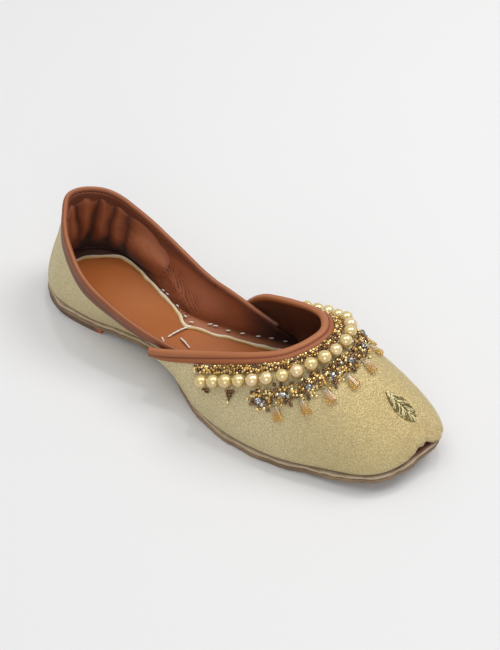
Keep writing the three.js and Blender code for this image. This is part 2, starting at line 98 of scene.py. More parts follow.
# Foot line: x in foot lengths and y in ball widths, from the back of the heel along the outer side to the
# toe and home along the inner side. The toe's point is place 13 of 26.
FOOT_LINE = [
    (0.000, 0.018), (0.024, -0.199), (0.088, -0.307), (0.180, -0.317), (0.281, -0.272), (0.369, -0.283),
    (0.450, -0.380), (0.530, -0.502), (0.626, -0.554), (0.731, -0.532), (0.838, -0.443), (0.929, -0.345),
    (0.978, -0.150), (1.004, 0.098), (0.984, 0.229), (0.932, 0.319), (0.851, 0.392), (0.747, 0.434),
    (0.643, 0.410), (0.546, 0.331), (0.458, 0.217), (0.378, 0.127), (0.289, 0.157), (0.201, 0.253),
    (0.112, 0.319), (0.036, 0.247),
]
PLACES = len(FOOT_LINE)
TOE = 13

# Sections of the quarter and the vamp: place, top edge x, y and z, then the leads out and up off the foot
# line and out and down from the top edge, in shares of the sheet's height
QUARTER_SECTIONS = [
    (-7.5, 0.570, 0.240, 0.432, 0.02, 0.13, 0.02, 0.13),
    (-7.0, 0.530, 0.243, 0.453, 0.02, 0.14, 0.02, 0.14),
    (-6.0, 0.450, 0.262, 0.490, 0.02, 0.14, 0.02, 0.14),
    (-5.0, 0.369, 0.277, 0.535, 0.02, 0.15, 0.03, 0.15),
    (-4.0, 0.281, 0.320, 0.628, 0.03, 0.17, 0.03, 0.19),
    (-3.0, 0.185, 0.350, 0.760, 0.05, 0.22, 0.04, 0.24),
    (-2.0, 0.096, 0.330, 0.906, 0.05, 0.24, 0.04, 0.29),
    (-1.0, 0.044, 0.226, 0.974, 0.04, 0.24, 0.03, 0.31),
    (0.0, 0.024, 0.084, 0.992, 0.04, 0.24, 0.03, 0.31),
    (1.0, 0.050, -0.058, 0.970, 0.04, 0.24, 0.03, 0.31),
    (2.0, 0.102, -0.226, 0.910, 0.05, 0.24, 0.03, 0.29),
    (3.0, 0.185, -0.368, 0.770, 0.05, 0.22, 0.04, 0.24),
    (4.0, 0.281, -0.404, 0.635, 0.03, 0.17, 0.03, 0.19),
    (5.0, 0.369, -0.399, 0.543, 0.02, 0.15, 0.03, 0.15),
    (6.0, 0.450, -0.374, 0.488, 0.02, 0.14, 0.02, 0.14),
    (7.0, 0.530, -0.356, 0.453, 0.02, 0.14, 0.02, 0.14),
    (7.5, 0.570, -0.350, 0.432, 0.02, 0.13, 0.02, 0.13),
]
VAMP_SECTIONS = [
    (5.4, 0.394, -0.476, 0.565, 0.10, 0.15, 0.02, 0.15),
    (6.0, 0.426, -0.455, 0.605, 0.12, 0.17, 0.03, 0.17),
    (7.0, 0.482, -0.396, 0.681, 0.12, 0.23, 0.08, 0.19),
    (8.0, 0.550, -0.322, 0.779, 0.10, 0.29, 0.17, 0.13),
    (9.0, 0.612, -0.258, 0.875, 0.10, 0.30, 0.29, 0.10),
    (10.0, 0.659, -0.181, 0.945, 0.10, 0.29, 0.40, 0.07),
    (11.0, 0.684, -0.088, 0.979, 0.08, 0.25, 0.48, 0.06),
    (12.0, 0.698, 0.012, 0.996, 0.07, 0.19, 0.53, 0.07),
    (13.0, 0.702, 0.098, 0.998, 0.05, 0.13, 0.53, 0.09),
    (14.0, 0.693, 0.165, 0.985, 0.05, 0.17, 0.46, 0.16),
    (15.0, 0.675, 0.227, 0.955, 0.05, 0.21, 0.33, 0.20),
    (16.0, 0.646, 0.270, 0.905, 0.06, 0.25, 0.21, 0.22),
    (17.0, 0.598, 0.292, 0.830, 0.06, 0.27, 0.13, 0.22),
    (18.0, 0.546, 0.296, 0.747, 0.06, 0.25, 0.09, 0.20),
    (18.5, 0.519, 0.301, 0.686, 0.06, 0.23, 0.07, 0.19),
    (19.0, 0.495, 0.306, 0.594, 0.06, 0.19, 0.05, 0.17),
    (19.4, 0.478, 0.312, 0.500, 0.05, 0.14, 0.03, 0.13),
    (19.7, 0.466, 0.317, 0.422, 0.04, 0.10, 0.02, 0.10),
]
QUARTER_END = QUARTER_SECTIONS[-1][0]
VAMP_START, VAMP_END = VAMP_SECTIONS[0][0], VAMP_SECTIONS[-1][0]

# Sock: x in foot lengths and its inner edge as a share of the way across the insole
SOCK_SECTIONS = [
    (0.036, 0.66), (0.042, 0.79), (0.054, 0.88), (0.087, 0.95), (0.126, 0.98), (0.175, 0.98), (0.214, 0.98),
    (0.257, 0.98), (0.301, 0.97), (0.337, 0.90), (0.372, 0.77), (0.413, 0.84), (0.446, 0.86), (0.514, 0.86),
    (0.581, 0.87), (0.660, 0.90), (0.740, 0.92), (0.820, 0.94), (0.880, 0.95), (0.920, 0.96),
]

# The last's skin, in numpy


class Rows:
    """Smooth curves through the columns of a table, against its first column."""

    def __init__(self, rows):
        self.rows = np.array(rows, float)
        step = np.diff(self.rows[:, :1], axis=0)
        rise = np.diff(self.rows, axis=0) / step
        before, after = step[:-1], step[1:]
        inner = (rise[:-1] * after + rise[1:] * before) / (before + after)
        self.slopes = np.vstack([rise[:1], inner, rise[-1:]])

    def at(self, place):
        place = np.asarray(place, float)
        key = self.rows[:, 0]
        i = np.clip(np.searchsorted(key, place, side="right") - 1, 0, len(key) - 2)
        span = (key[i + 1] - key[i])[..., None]
        t = (place - key[i])[..., None] / span
        return (
            (1 + 2 * t) * (1 - t) ** 2 * self.rows[i]
            + t * (1 - t) ** 2 * span * self.slopes[i]
            + t * t * (3 - 2 * t) * self.rows[i + 1]
            + t * t * (t - 1) * span * self.slopes[i + 1]
        )


def smooth_step(low, high, x):
    t = np.clip((x - low) / (high - low), 0, 1)
    return t * t * (3 - 2 * t)


def unit(vectors):
    return vectors / np.maximum(np.linalg.norm(vectors, axis=-1, keepdims=True), 1e-12)


def bell(x, middle, width):
    return np.exp(-(((x - middle) / width) ** 2))


FOOT_ROWS = Rows([
    (i, FOOT_LINE[i % PLACES][0] * FOOT_LENGTH - HEEL_CENTRE, FOOT_LINE[i % PLACES][1] * BALL_WIDTH)
    for i in range(-3, PLACES + 4)
])


def foot_point(at):
    return FOOT_ROWS.at(np.mod(at, PLACES))[..., 1:]


def plan_normal(curve, at, step=0.02):
    """Outward direction, in plan, of a curve of places."""
    along = curve(at + step) - curve(at - step)
    return unit(np.stack([along[..., 1], -along[..., 0]], -1))


def outsole_underside(x):
    share = (x + HEEL_CENTRE) / FOOT_LENGTH
    heel_end, tread_start, tread_end = 0.24, 0.53, 0.72
    waist = np.clip((share - heel_end) / (tread_start - heel_end), 0, 1)
    spring = np.clip((share - tread_end) / (1 - tread_end), 0, None)
    return (
        (HEEL_LIFT_HEIGHT + SEAT_GAP) * (1 - smooth_step(heel_end, tread_start, share))
        + ARCH_RISE * np.sin(np.pi * waist) ** 2
        + TOE_SPRING * spring ** TOE_SPRING_POWER
    )


def midsole_underside(x):
    return outsole_underside(x) + OUTSOLE_THICKNESS + SEAT_GAP


def foot_height(x):
    return midsole_underside(x) + MIDSOLE_THICKNESS + SEAT_GAP


class Sheet:
    """One piece of the upper: its skin runs from the foot line (up 0) to its top edge (up 1)."""

    def __init__(self, sections, height, tuck):
        self.rows, self.height, self.tuck = Rows(sections), height, tuck

    def top(self, at):
        values = self.rows.at(at)
        x = values[..., 1] * FOOT_LENGTH - HEEL_CENTRE
        return np.stack([x, values[..., 2] * BALL_WIDTH, values[..., 3] * self.height], -1)

    def section(self, at):
        at = np.asarray(at, float)
        out, rise, reach, fall = (self.rows.at(at)[..., k, None] * self.height for k in range(4, 8))
        foot_out = plan_normal(foot_point, at)
        top_out = plan_normal(lambda place: self.top(place)[..., :2], at)
        base = foot_point(at) - foot_out * self.tuck(at)[..., None]
        foot = np.concatenate([base, foot_height(base[..., :1])], -1)
        top = self.top(at)
        lower = foot + np.concatenate([foot_out * out, rise], -1)
        upper = top + np.concatenate([top_out * reach, -fall], -1)
        return foot, lower, upper, top

    def point(self, at, up):
        foot, lower, upper, top = self.section(at)
        t = np.asarray(up, float)[..., None]
        return (
            (1 - t) ** 3 * foot + 3 * t * (1 - t) ** 2 * lower
            + 3 * t * t * (1 - t) * upper + t ** 3 * top
        )

    def outward(self, at, up, step=0.01):
        across = self.point(at, np.minimum(up + step, 1)) - self.point(at, np.maximum(up - step, 0))
        along = self.point(at + step, up) - self.point(at - step, up)
        normal = unit(np.cross(along, across))
        normal[..., 2] *= smooth_step(0, 0.2, up)
        return unit(normal)

    def skin(self, at, up, lift):
        return self.point(at, up) + self.outward(at, up) * np.asarray(lift, float)[..., None]

    def up_below(self, at, depth, steps=60):
        """Where on its section a point lies that is this far below the top edge, over the skin."""
        at, depth = (a.ravel() for a in np.broadcast_arrays(at, depth))
        places, which = np.unique(at, return_inverse=True)
        ups = np.linspace(1, 0, steps + 1)
        lines = self.point(places[:, None], np.broadcast_to(ups, (len(places), len(ups))))
        runs = np.cumsum(np.linalg.norm(np.diff(lines, axis=1), axis=-1), axis=1)
        runs = np.concatenate([np.zeros((len(places), 1)), runs], 1)
        return np.array([np.interp(d, runs[k], ups) for d, k in zip(depth, which)])

    def below_top(self, at, depth, lift=0.0):
        """Point at a depth below the top edge; a negative depth stands above it."""
        at, depth, lift = (np.array(a, float) for a in np.broadcast_arrays(at, depth, lift))
        up = self.up_below(at, depth).reshape(at.shape)
        rise = unit(self.point(at, np.ones_like(at)) - self.point(at, np.full_like(at, 0.98)))
        return self.skin(at, up, lift) + rise * np.maximum(-depth, 0)[..., None]


def cover_at(at):
    """How far the vamp's wing covers the quarter at a place, which is negative along the inner side."""
    start, full = np.where(at < 0, 5.2, 4.6), np.where(at < 0, 6.3, 5.4)
    return smooth_step(start, full, np.abs(at))


quarter = Sheet(QUARTER_SECTIONS, BACK_HEIGHT, lambda at: WING_TUCK * cover_at(at))
vamp = Sheet(VAMP_SECTIONS, THROAT_HEIGHT, lambda at: np.zeros_like(at))


def closing_places(start, end, count):
    """Places along a sheet, closer together round its middle, where it bends most."""
    t = np.linspace(-1, 1, count + 1)
    return (start + end) / 2 + (end - start) / 2 * (0.68 * t + 0.32 * t ** 3)


def ripple(points, size, seed):
    """Gentle seeded noise over points, in lumps of about this size."""
    shift = Vector((seed * 3.7, seed * 1.3, seed * 7.1))
    flat = points.reshape(-1, 3) / size
    return np.array([noise.noise(Vector(p) + shift) for p in flat]).reshape(points.shape[:-1])


def trough(points, line, width, depth):
    """How far points sink towards a line, in a soft trough that fades out at the line's ends."""
    gaps = np.linalg.norm(points[..., None, :] - line, axis=-1)
    along = (gaps.argmin(-1) + 0.5) / len(line)
    return depth * np.sqrt(np.sin(np.pi * along)) * bell(gaps.min(-1), 0, width)


# Meshes


def new_piece(name, mesh, replaced=()):
    piece = bpy.data.objects.new(name, mesh)
    bpy.context.scene.collection.objects.link(piece)
    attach(piece, "root")
    if replaced:
        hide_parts(*replaced)
    return piece


def closed_mesh(name, points, faces, finish, marks):
    """A smooth mesh with faces pointing out and named marks for its points."""
    mesh = bpy.data.meshes.new(name)
    mesh.from_pydata([tuple(p) for p in points], [], [tuple(f) for f in faces])
    mesh.materials.append(finish)
    for mark, values in marks.items():
        layer = mesh.attributes.new(mark, "FLOAT", "POINT")
        layer.data.foreach_set("value", np.asarray(values, np.float32).ravel())
    mesh.polygons.foreach_set("use_smooth", np.ones(len(mesh.polygons), bool))
    shape = bmesh.new()
    shape.from_mesh(mesh)
    bmesh.ops.recalc_face_normals(shape, faces=shape.faces)
    shape.to_mesh(mesh)
    shape.free()
    mesh.update()
    return mesh


def grid_faces(rows, columns, start=0):
    i, j = np.meshgrid(np.arange(rows - 1), np.arange(columns - 1), indexing="ij")
    a = (start + i * columns + j).ravel()
    return np.stack([a, a + columns, a + columns + 1, a + 1], -1)


def shell(name, front, back, finish, marks):
    """A closed wall between two grids of points with the same rows and columns."""
    rows, columns = front.shape[:2]
    count = rows * columns
    edge = np.concatenate([
        np.arange(columns), np.arange(1, rows) * columns + columns - 1,
        (rows - 1) * columns + np.arange(columns - 2, -1, -1), np.arange(rows - 2, 0, -1) * columns,
    ])
    after = np.roll(edge, -1)
    rim = np.stack([edge, after, after + count, edge + count], -1)
    faces = np.concatenate([grid_faces(rows, columns), grid_faces(rows, columns, count), rim])
    points = np.concatenate([front.reshape(-1, 3), back.reshape(-1, 3)])
    both = {mark: np.tile(np.ravel(values), 2) for mark, values in marks.items()}
    return closed_mesh(name, points, faces, finish, both)


def tube(line, radii, sides, squash):
    """Points and faces of a closed round strip along a line; squash flattens it in height."""
    tangent = unit(np.gradient(line, axis=0))
    side = unit(np.cross(tangent, np.array([0.0, 0.0, 1.0])))
    rise = np.cross(side, tangent)
    turn = np.linspace(0, 2 * np.pi, sides, endpoint=False)
    radii = np.broadcast_to(radii, len(line))[:, None, None]
    turn = turn[None, :, None]
    ring = np.cos(turn) * side[:, None] + np.sin(turn) * rise[:, None] * squash
    points = (line[:, None] + ring * radii).reshape(-1, 3)
    faces = []
    for i in range(len(line) - 1):
        for k in range(sides):
            a, b = i * sides + k, i * sides + (k + 1) % sides
            faces.append((a, b, b + sides, a + sides))
    faces.append(tuple(range(sides)))
    faces.append(tuple((len(line) - 1) * sides + k for k in range(sides)))
    return points, faces


def smooth_line(points, count):
    """The same line with evenly spaced points on one smooth curve."""
    points = np.array(points, float)
    runs = np.concatenate([[0], np.cumsum(np.linalg.norm(np.diff(points, axis=0), axis=1))])
    table = Rows(np.column_stack([runs, points]))
    return table.at(np.linspace(0, runs[-1], count))[:, 1:]


# Node trees


class Link:
    """An output socket that Python arithmetic works on; each operation adds its Math node."""

    def __init__(self, graph, socket):
        self.graph, self.socket = graph, socket

    def __add__(self, other):
        return self.graph.maths("ADD", self, other)

    def __sub__(self, other):
        return self.graph.maths("SUBTRACT", self, other)

    def __rsub__(self, other):
        return self.graph.maths("SUBTRACT", other, self)

    def __mul__(self, other):
        return self.graph.maths("MULTIPLY", self, other)

    __radd__, __rmul__ = __add__, __mul__


class Graph:
    """A node tree that is written as expressions."""

    def __init__(self, tree):
        self.tree = tree

    def node(self, kind, sockets=None, **settings):
        """Adds a node: its settings come first, then its sockets' values or links."""
        made = self.tree.nodes.new(kind)
        for name, value in settings.items():
            setattr(made, name, value)
        for key, value in (sockets or {}).items():
            named = (s for s in made.inputs if s.enabled and s.name == key)
            socket = made.inputs[key] if isinstance(key, int) else next(named)
            if isinstance(value, Link):
                self.tree.links.new(value.socket, socket)
            else:
                socket.default_value = value
        return {s.name: Link(self, s) for s in reversed(made.outputs) if s.enabled}

    def maths(self, operation, *values):
        return self.node("ShaderNodeMath", dict(enumerate(values)), operation=operation)["Value"]


class Finish(Graph):
    """A material on the Principled shader. Object coordinates carry its patterns, in metres."""

    def __init__(self, name, **constants):
        self.material = bpy.data.materials.new(name)
        self.material.use_nodes = True
        super().__init__(self.material.node_tree)
        self.tree.nodes.clear()
        self.shader = self.tree.nodes.new("ShaderNodeBsdfPrincipled")
        output = self.tree.nodes.new("ShaderNodeOutputMaterial")
        self.tree.links.new(self.shader.outputs[0], output.inputs["Surface"])
        for socket, value in constants.items():
            self.shader.inputs[socket.replace("_", " ")].default_value = value
        self.place = self.node("ShaderNodeTexCoord")["Object"]

    def feed(self, socket, value):
        self.tree.links.new(value.socket, self.shader.inputs[socket])

    def grains(self, size, detail=3.0, stretch=(1, 1, 1), turn=(0, 0, 0), roughness=0.5, shift=0.0):
        """Noise from 0 to 1 in grains of about this size."""
        where = self.node("ShaderNodeMapping", {
            "Vector": self.place, "Location": (shift, shift, shift), "Rotation": turn,
            "Scale": tuple(1 / (size * s) for s in stretch),
        })["Vector"]
        sockets = {"Vector": where, "Scale": 1.0, "Detail": detail, "Roughness": roughness}
        return self.node("ShaderNodeTexNoise", sockets)["Fac"]

    def cells(self, size):
        """Distance to the middle of the nearest of many cells of about this size."""
        where = self.node("ShaderNodeMapping", {"Vector": self.place, "Scale": (1 / size,) * 3})["Vector"]
        return self.node("ShaderNodeTexVoronoi", {"Vector": where, "Scale": 1.0})["Distance"]

    def ramp(self, value, low, high):
        """0 below low, 1 above high and smooth between."""
        sockets = {"Value": value, "From Min": low, "From Max": high}
        return self.node("ShaderNodeMapRange", sockets, interpolation_type="SMOOTHSTEP")["Result"]

    def near(self, point, reach):
        """1 at a point of the shoe, fading to 0 at its reach."""
        away = self.node("ShaderNodeVectorMath", {0: self.place, 1: point}, operation="DISTANCE")["Value"]
        return 1 - self.ramp(away, 0.0, reach)

    def mark(self, name):
        return self.node("ShaderNodeAttribute", attribute_name=name)["Fac"]

    def blend(self, share, first, second):
        """The first colour at share 0 and the second at share 1."""
        sockets = {"Factor": share, "A": first, "B": second}
        for key, value in sockets.items():
            if isinstance(value, tuple):
                sockets[key] = (*value, 1)
        return self.node("ShaderNodeMix", sockets, data_type="RGBA")["Result"]

    def bump(self, height, depth, strength=1.0):
        sockets = {"Height": height, "Distance": depth, "Strength": strength}
        self.feed("Normal", self.node("ShaderNodeBump", sockets)["Normal"])


# Leathers


def gold_leather():
    f = Finish("gold_leather")
    cloud = f.grains(0.030, 3)
    fine = f.grains(0.0005, 4, roughness=0.65)
    grain = f.grains(0.0008, 1, stretch=(0.50, 1.8, 0.9), turn=(0, 0, 0.25), roughness=0.4)
    pits = f.ramp(grain, 0.62, 0.34)
    toe = f.near((0.190, -0.006, 0.030), 0.070)
    smudge = f.near((0.208, 0.002, 0.016), 0.020) * f.ramp(f.grains(0.006, 3), 0.30, 0.6)
    colour = f.blend(cloud, (0.660, 0.560, 0.305), (0.780, 0.670, 0.390))
    colour = f.blend(toe * 0.75, colour, (0.57, 0.420, 0.160))
    colour = f.blend(smudge * 0.6, colour, (0.42, 0.245, 0.09))
    colour = f.blend(pits * 0.54, colour, (0.27, 0.205, 0.095))
    colour = f.blend(f.ramp(f.mark("shade") + 0.5 * fine, 0.45, 1.0), colour, (0.085, 0.055, 0.035))
    f.feed("Base Color", colour)
    f.feed("Metallic", 0.48 - 0.25 * pits)
    f.feed("Roughness", 0.34 + 0.22 * fine + 0.10 * cloud)
    f.bump(fine * 0.15 + grain, 0.00065, 0.9)
    return f.material


def brown_leather():
    f = Finish("brown_leather", Coat_Roughness=0.3, Coat_Weight=0.06, Specular_IOR_Level=0.32)
    cloud = f.grains(0.012, 3)
    fine = f.grains(0.0005, 4, roughness=0.6)
    pores = f.cells(0.0009)
    colour = f.blend(cloud, (0.285, 0.080, 0.022), (0.380, 0.120, 0.036))
    # Painted highlight along the bindings' crests and outer edges, from the profiles' highlight mark
    colour = f.blend(f.mark("highlight_and_wear"), colour, (0.430, 0.175, 0.078))
    colour = f.blend(f.mark("shade"), colour, (0.085, 0.036, 0.028))
    f.feed("Base Color", colour)
    f.feed("Roughness", 0.40 + 0.20 * fine)
    f.bump(fine * 0.6 + pores * 0.4, 0.00009, 0.6)
    return f.material


def lining_leather():
    """Brown lining, finely wrinkled low on the inner wall where it was drawn in over the last."""
    f = Finish("lining_leather", Coat_Roughness=0.32, Coat_Weight=0.10, Specular_IOR_Level=0.32)
    cloud = f.grains(0.014, 4)
    fine = f.grains(0.0006, 4, roughness=0.65)
    over_them, pitch = (-0.485, 0.163, -0.869), 0.0014
    across = f.node("ShaderNodeVectorMath", {0: f.place, 1: over_them}, operation="DOT_PRODUCT")["Value"]
    stripes = f.maths("SINE", across * (2 * math.pi / pitch) + 11 * f.grains(0.006, 4))
    low, high = quarter.point(np.array([-3.9, -4.6]), np.array([0.30, 0.12]))
    drawn_in = f.ramp(f.near(tuple(low), 0.017) + f.near(tuple(high), 0.015), 0.1, 0.7)
    wrinkles = drawn_in * f.ramp(stripes, -0.6, 0.9) * f.ramp(f.grains(0.003, 2, shift=2.0), 0.35, 0.6)
    colour = f.blend(cloud, (0.225, 0.058, 0.020), (0.340, 0.096, 0.034))
    # Painted highlight on the heel pad's puffs and the facing's turned edge; on the insole the same mark is
    # an even paler tone
    colour = f.blend(f.mark("highlight_and_wear"), colour, (0.560, 0.220, 0.105))
    # Painted shade in the wrinkles' troughs, on top of their bump
    colour = f.blend(wrinkles * 0.60, colour, (0.085, 0.026, 0.014))
    colour = f.blend(f.mark("shade"), colour, (0.062, 0.034, 0.030))
    f.feed("Base Color", colour)
    f.feed("Roughness", 0.42 + 0.22 * fine)
    f.bump(fine * 0.20 - wrinkles, 0.0004, 0.7)
    return f.material


def sock_leather():
    f = Finish("sock_leather", Coat_Roughness=0.4, Coat_Weight=0.04, Specular_IOR_Level=0.3)
    cloud = f.grains(0.022, 3)
    fine = f.grains(0.0005, 4, roughness=0.6)
    paler = f.near((0.032, 0.004, 0.010), 0.035)
    colour = f.blend(cloud, (0.310, 0.082, 0.014), (0.395, 0.118, 0.024))
    colour = f.blend(paler * 0.40, colour, (0.43, 0.170, 0.065))
    colour = f.blend(f.mark("shade"), colour, (0.10, 0.034, 0.014))
    f.feed("Base Color", colour)
    f.feed("Roughness", 0.38 + 0.18 * fine)
    f.bump(fine, 0.00006, 0.6)
    return f.material


def cut_edge():
    """The sock's raw edge: ochre, with a painted highlight in white along its upper side and painted shade
    under it.
    """
    f = Finish("cut_edge")
    fibre = f.grains(0.0007, 4, stretch=(2.5, 2.5, 0.6))
    colour = f.blend(f.mark("highlight_and_wear"), (0.520, 0.330, 0.105), (0.740, 0.670, 0.520))
    colour = f.blend(f.mark("shade"), colour, (0.130, 0.075, 0.035))
    f.feed("Base Color", colour)
    f.feed("Roughness", 0.5 + 0.3 * fibre)
    f.bump(fibre, 0.0002, 0.6)
    return f.material


def sole_leather(name, pale, dark, layers):
    """Raw sole leather: stretched fibres and thin dark layer lines on its edge."""
    f = Finish(name)
    fibre = f.grains(0.0010, 4, stretch=(5, 5, 0.45), roughness=0.6)
    patch = f.grains(0.012, 3, shift=4.0)
    height = f.node("ShaderNodeSeparateXYZ", {"Vector": f.place})["Z"]
    wave = f.grains(0.005, 3, shift=9.0) * 0.0012
    lines = f.maths("SINE", (height + wave) * (2 * math.pi / layers))
    colour = f.blend(fibre * 0.75, pale, dark)
    colour = f.blend(f.ramp(lines, 0.35, 1.0) * 0.55, colour, dark)
    colour = f.blend(f.ramp(patch, 0.45, 0.75) * 0.35, colour, dark)
    colour = f.blend(f.mark("shade"), colour, (0.05, 0.032, 0.022))
    f.feed("Base Color", colour)
    f.feed("Roughness", 0.55 + 0.3 * fibre)
    f.bump(fibre * 0.7 - 0.3 * lines, 0.00035, 0.8)
    return f


def heel_leather():
    """Dark lift leather with an orange worn spot on its outer side."""
    f = sole_leather("heel_leather", (0.230, 0.145, 0.082), (0.055, 0.032, 0.020), 0.0011)
    worn = f.near((0.0215, -0.0260, 0.0022), 0.0046) * f.ramp(f.grains(0.0016, 3), 0.30, 0.55)
    before = Link(f, f.shader.inputs["Base Color"].links[0].from_socket)
    f.feed("Base Color", f.blend(worn, before, (0.62, 0.140, 0.015)))
    return f.material


# Trim finishes


def pearl_finish():
    f = Finish("pearl", Coat_Weight=1.0, Coat_Roughness=0.04, Coat_IOR=2.1, Specular_IOR_Level=0.6)
    tint = f.mark("tint")
    cloud = f.grains(0.004, 2)
    # Painted shade and painted reflection of the gold leather under each pearl: darker gold where the
    # surface faces down
    facing = f.node("ShaderNodeSeparateXYZ", {"Vector": f.node("ShaderNodeNewGeometry")["Normal"]})["Z"]
    under = 1 - f.ramp(facing, -0.25, 0.85)
    colour = f.blend(tint, (0.740, 0.545, 0.165), (0.800, 0.645, 0.280))
    colour = f.blend(f.ramp(tint, 0.72, 0.95) * 0.6, colour, (0.88, 0.60, 0.34))
    colour = f.blend(cloud * 0.30, colour, (0.66, 0.44, 0.15))
    colour = f.blend(under * 0.80, colour, (0.50, 0.285, 0.060))
    f.feed("Base Color", colour)
    f.feed("Roughness", 0.16 + 0.10 * cloud)
    f.feed("Metallic", 0.30 + 0.1 * cloud)
    return f.material


def bead_finish():
    """Foiled seed beads: bright gold, antique bronze and a few grey ones."""
    f = Finish("seed_beads", Coat_Weight=0.5, Coat_Roughness=0.05)
    tint = f.mark("tint")
    colour = f.blend(f.ramp(tint, 0.34, 0.54), (0.170, 0.080, 0.034), (0.680, 0.430, 0.110))
    colour = f.blend(f.ramp(tint, 0.64, 0.84), colour, (0.920, 0.740, 0.360))
    colour = f.blend(f.ramp(tint, 0.94, 0.96), colour, (0.78, 0.76, 0.72))
    f.feed("Base Color", colour)
    f.feed("Metallic", 0.70 + 0.2 * tint)
    f.feed("Roughness", 0.12 + 0.14 * f.grains(0.001, 2))
    return f.material


def stone_finish():
    """Clear foiled stones in the middle of each cluster, with painted reflections: light and dark patches
    over their facets.
    """
    f = Finish("clear_stones", Coat_Weight=1.0, Coat_Roughness=0.02, Coat_IOR=1.8)
    flash = f.cells(0.0011)
    colour = f.blend(f.ramp(flash, 0.2, 0.55), (0.93, 0.93, 0.90), (0.16, 0.155, 0.145))
    f.feed("Base Color", colour)
    f.feed("Metallic", 0.80 + 0.1 * flash)
    f.feed("Roughness", 0.06 + 0.08 * flash)
    return f.material


def drop_finish():
    """Champagne glass, pale at the tie and amber at the foot."""
    f = Finish("champagne_glass", Transmission_Weight=0.80, IOR=1.45, Coat_Weight=0.6, Coat_Roughness=0.02)
    foot = f.mark("tint")
    colour = f.blend(f.ramp(foot, 0.1, 0.8), (0.84, 0.73, 0.56), (0.86, 0.56, 0.15))
    f.feed("Base Color", colour)
    f.feed("Roughness", 0.06 + 0.10 * f.grains(0.002, 2))
    return f.material


def thread_finish(name, pale, dark, metallic):
    """Twisted thread, paler or darker by its stitch's tint."""
    f = Finish(name)
    twist = f.grains(0.0004, 2)
    tint = f.mark("tint")
    colour = f.blend(f.ramp(tint, 0.30, 0.70), dark, pale)
    f.feed("Base Color", f.blend(twist * 0.4, colour, dark))
    f.feed("Metallic", metallic + 0.1 * twist)
    f.feed("Roughness", 0.34 + 0.25 * twist)
    f.bump(twist, 0.00008, 0.6)
    return f.material


gold = gold_leather()
brown = brown_leather()
lining = lining_leather()
sock_finish = sock_leather()
edge_finish = cut_edge()
pale_sole = sole_leather("pale_sole", (0.640, 0.520, 0.360), (0.330, 0.225, 0.130), 0.0021).material
tan_sole = sole_leather("tan_sole", (0.430, 0.290, 0.165), (0.150, 0.086, 0.046), 0.0011).material
dark_sole = heel_leather()
pearl_skin = pearl_finish()
bead_skin = bead_finish()
stone_skin = stone_finish()
glass_skin = drop_finish()
leaf_thread = thread_finish("metal_thread", (0.95, 0.86, 0.50), (0.230, 0.175, 0.060), 0.55)
white_thread = thread_finish("white_thread", (0.86, 0.84, 0.78), (0.55, 0.50, 0.42), 0.0)
red_thread = thread_finish("dark_red_thread", (0.210, 0.038, 0.016), (0.100, 0.020, 0.010), 0.0)

# The upper: gold leather outside and brown lining inside, both pulled down over the last

# Soft troughs in the leather: first and last place and height up the section, width and depth
VAMP_CREASES = [
    (12.55, 0.03, 12.95, 0.30, 0.0018, 0.0007),
    (13.45, 0.02, 13.10, 0.22, 0.0016, 0.0009),
    (12.10, 0.04, 12.35, 0.17, 0.0020, 0.0004),
    (7.20, 0.35, 8.60, 0.30, 0.0040, 0.0003),
    (6.60, 0.20, 7.90, 0.16, 0.0035, 0.0003),
    (9.10, 0.18, 10.4, 0.13, 0.0040, 0.0003),
    (15.8, 0.15, 17.4, 0.20, 0.0040, 0.0003),
    (18.2, 0.28, 19.6, 0.33, 0.0035, 0.0003),
]
QUARTER_CREASES = [
    (1.10, 0.75, 1.50, 0.20, 0.0040, 0.0003),
    (2.30, 0.70, 2.70, 0.15, 0.0045, 0.0003),
    (3.40, 0.60, 3.90, 0.20, 0.0040, 0.0003),
    (-1.20, 0.70, -1.60, 0.25, 0.0045, 0.0003),
    (-2.70, 0.65, -3.30, 0.20, 0.0045, 0.0003),
]
LINING_CREASES = [
    (-3.50, 0.50, -4.20, 0.14, 0.0018, 0.0006),
    (-3.80, 0.44, -4.50, 0.10, 0.0018, 0.0006),
    (-4.10, 0.36, -4.80, 0.08, 0.0018, 0.0006),
]
FOOT_TURN_IN = 0.0009
LEATHER_WAVE = 0.00022
# The wall's leathers by slot: finish, and lift of the outer and the inner face off the skin
WALL_LAYERS = {
    "gold_leather": (gold, 0, -LEATHER),
    "lining_leather": (lining, -LEATHER - LINING_GAP, -UPPER_WALL),
}


def crease_depth(sheet, points, creases):
    """How far each point of a sheet sinks into its creases."""
    sunk = np.zeros(points.shape[:-1])
    t = np.linspace(0, 1, 24)
    for at0, up0, at1, up1, width, depth in creases:
        line = sheet.point(at0 + (at1 - at0) * t, up0 + (up1 - up0) * t)
        sunk += trough(points, line, width, depth)
    return sunk


def foot_lift(share):
    """The leather turns in at its foot edge."""
    return -FOOT_TURN_IN * np.clip(1 - share / 0.07, 0, 1) ** 2


def foot_gap(at):
    """The cut foot edge stands off the sole along the forefoot, and most at the toe's outer side."""
    forefoot = smooth_step(7.0, 8.5, at) * smooth_step(15.5, 14.0, at)
    opening = 0.145 * bell(at, 12.55, 0.38) + 0.040 * bell(at, 12.0, 0.4)
    torn = 0.016 * np.sin(23 * at) * bell(at, 12.6, 0.4)
    return 0.012 * forefoot + opening + torn


def upper_grid(sheet, places, rows, lift, creases, gap):
    """Points of a layer at a lift off the skin, in closer rows near its foot."""
    share = np.linspace(0, 1, rows + 1)
    at, share = np.meshgrid(places, share * (1.4 - 0.4 * share), indexing="ij")
    low = gap(at)
    up = low + (1 - low) * share
    points = sheet.point(at, up)
    sunk = crease_depth(sheet, points, creases)
    wavy = LEATHER_WAVE * ripple(points, 0.016, 2)
    return sheet.skin(at, up, lift + foot_lift(share) - sunk + wavy), at, share


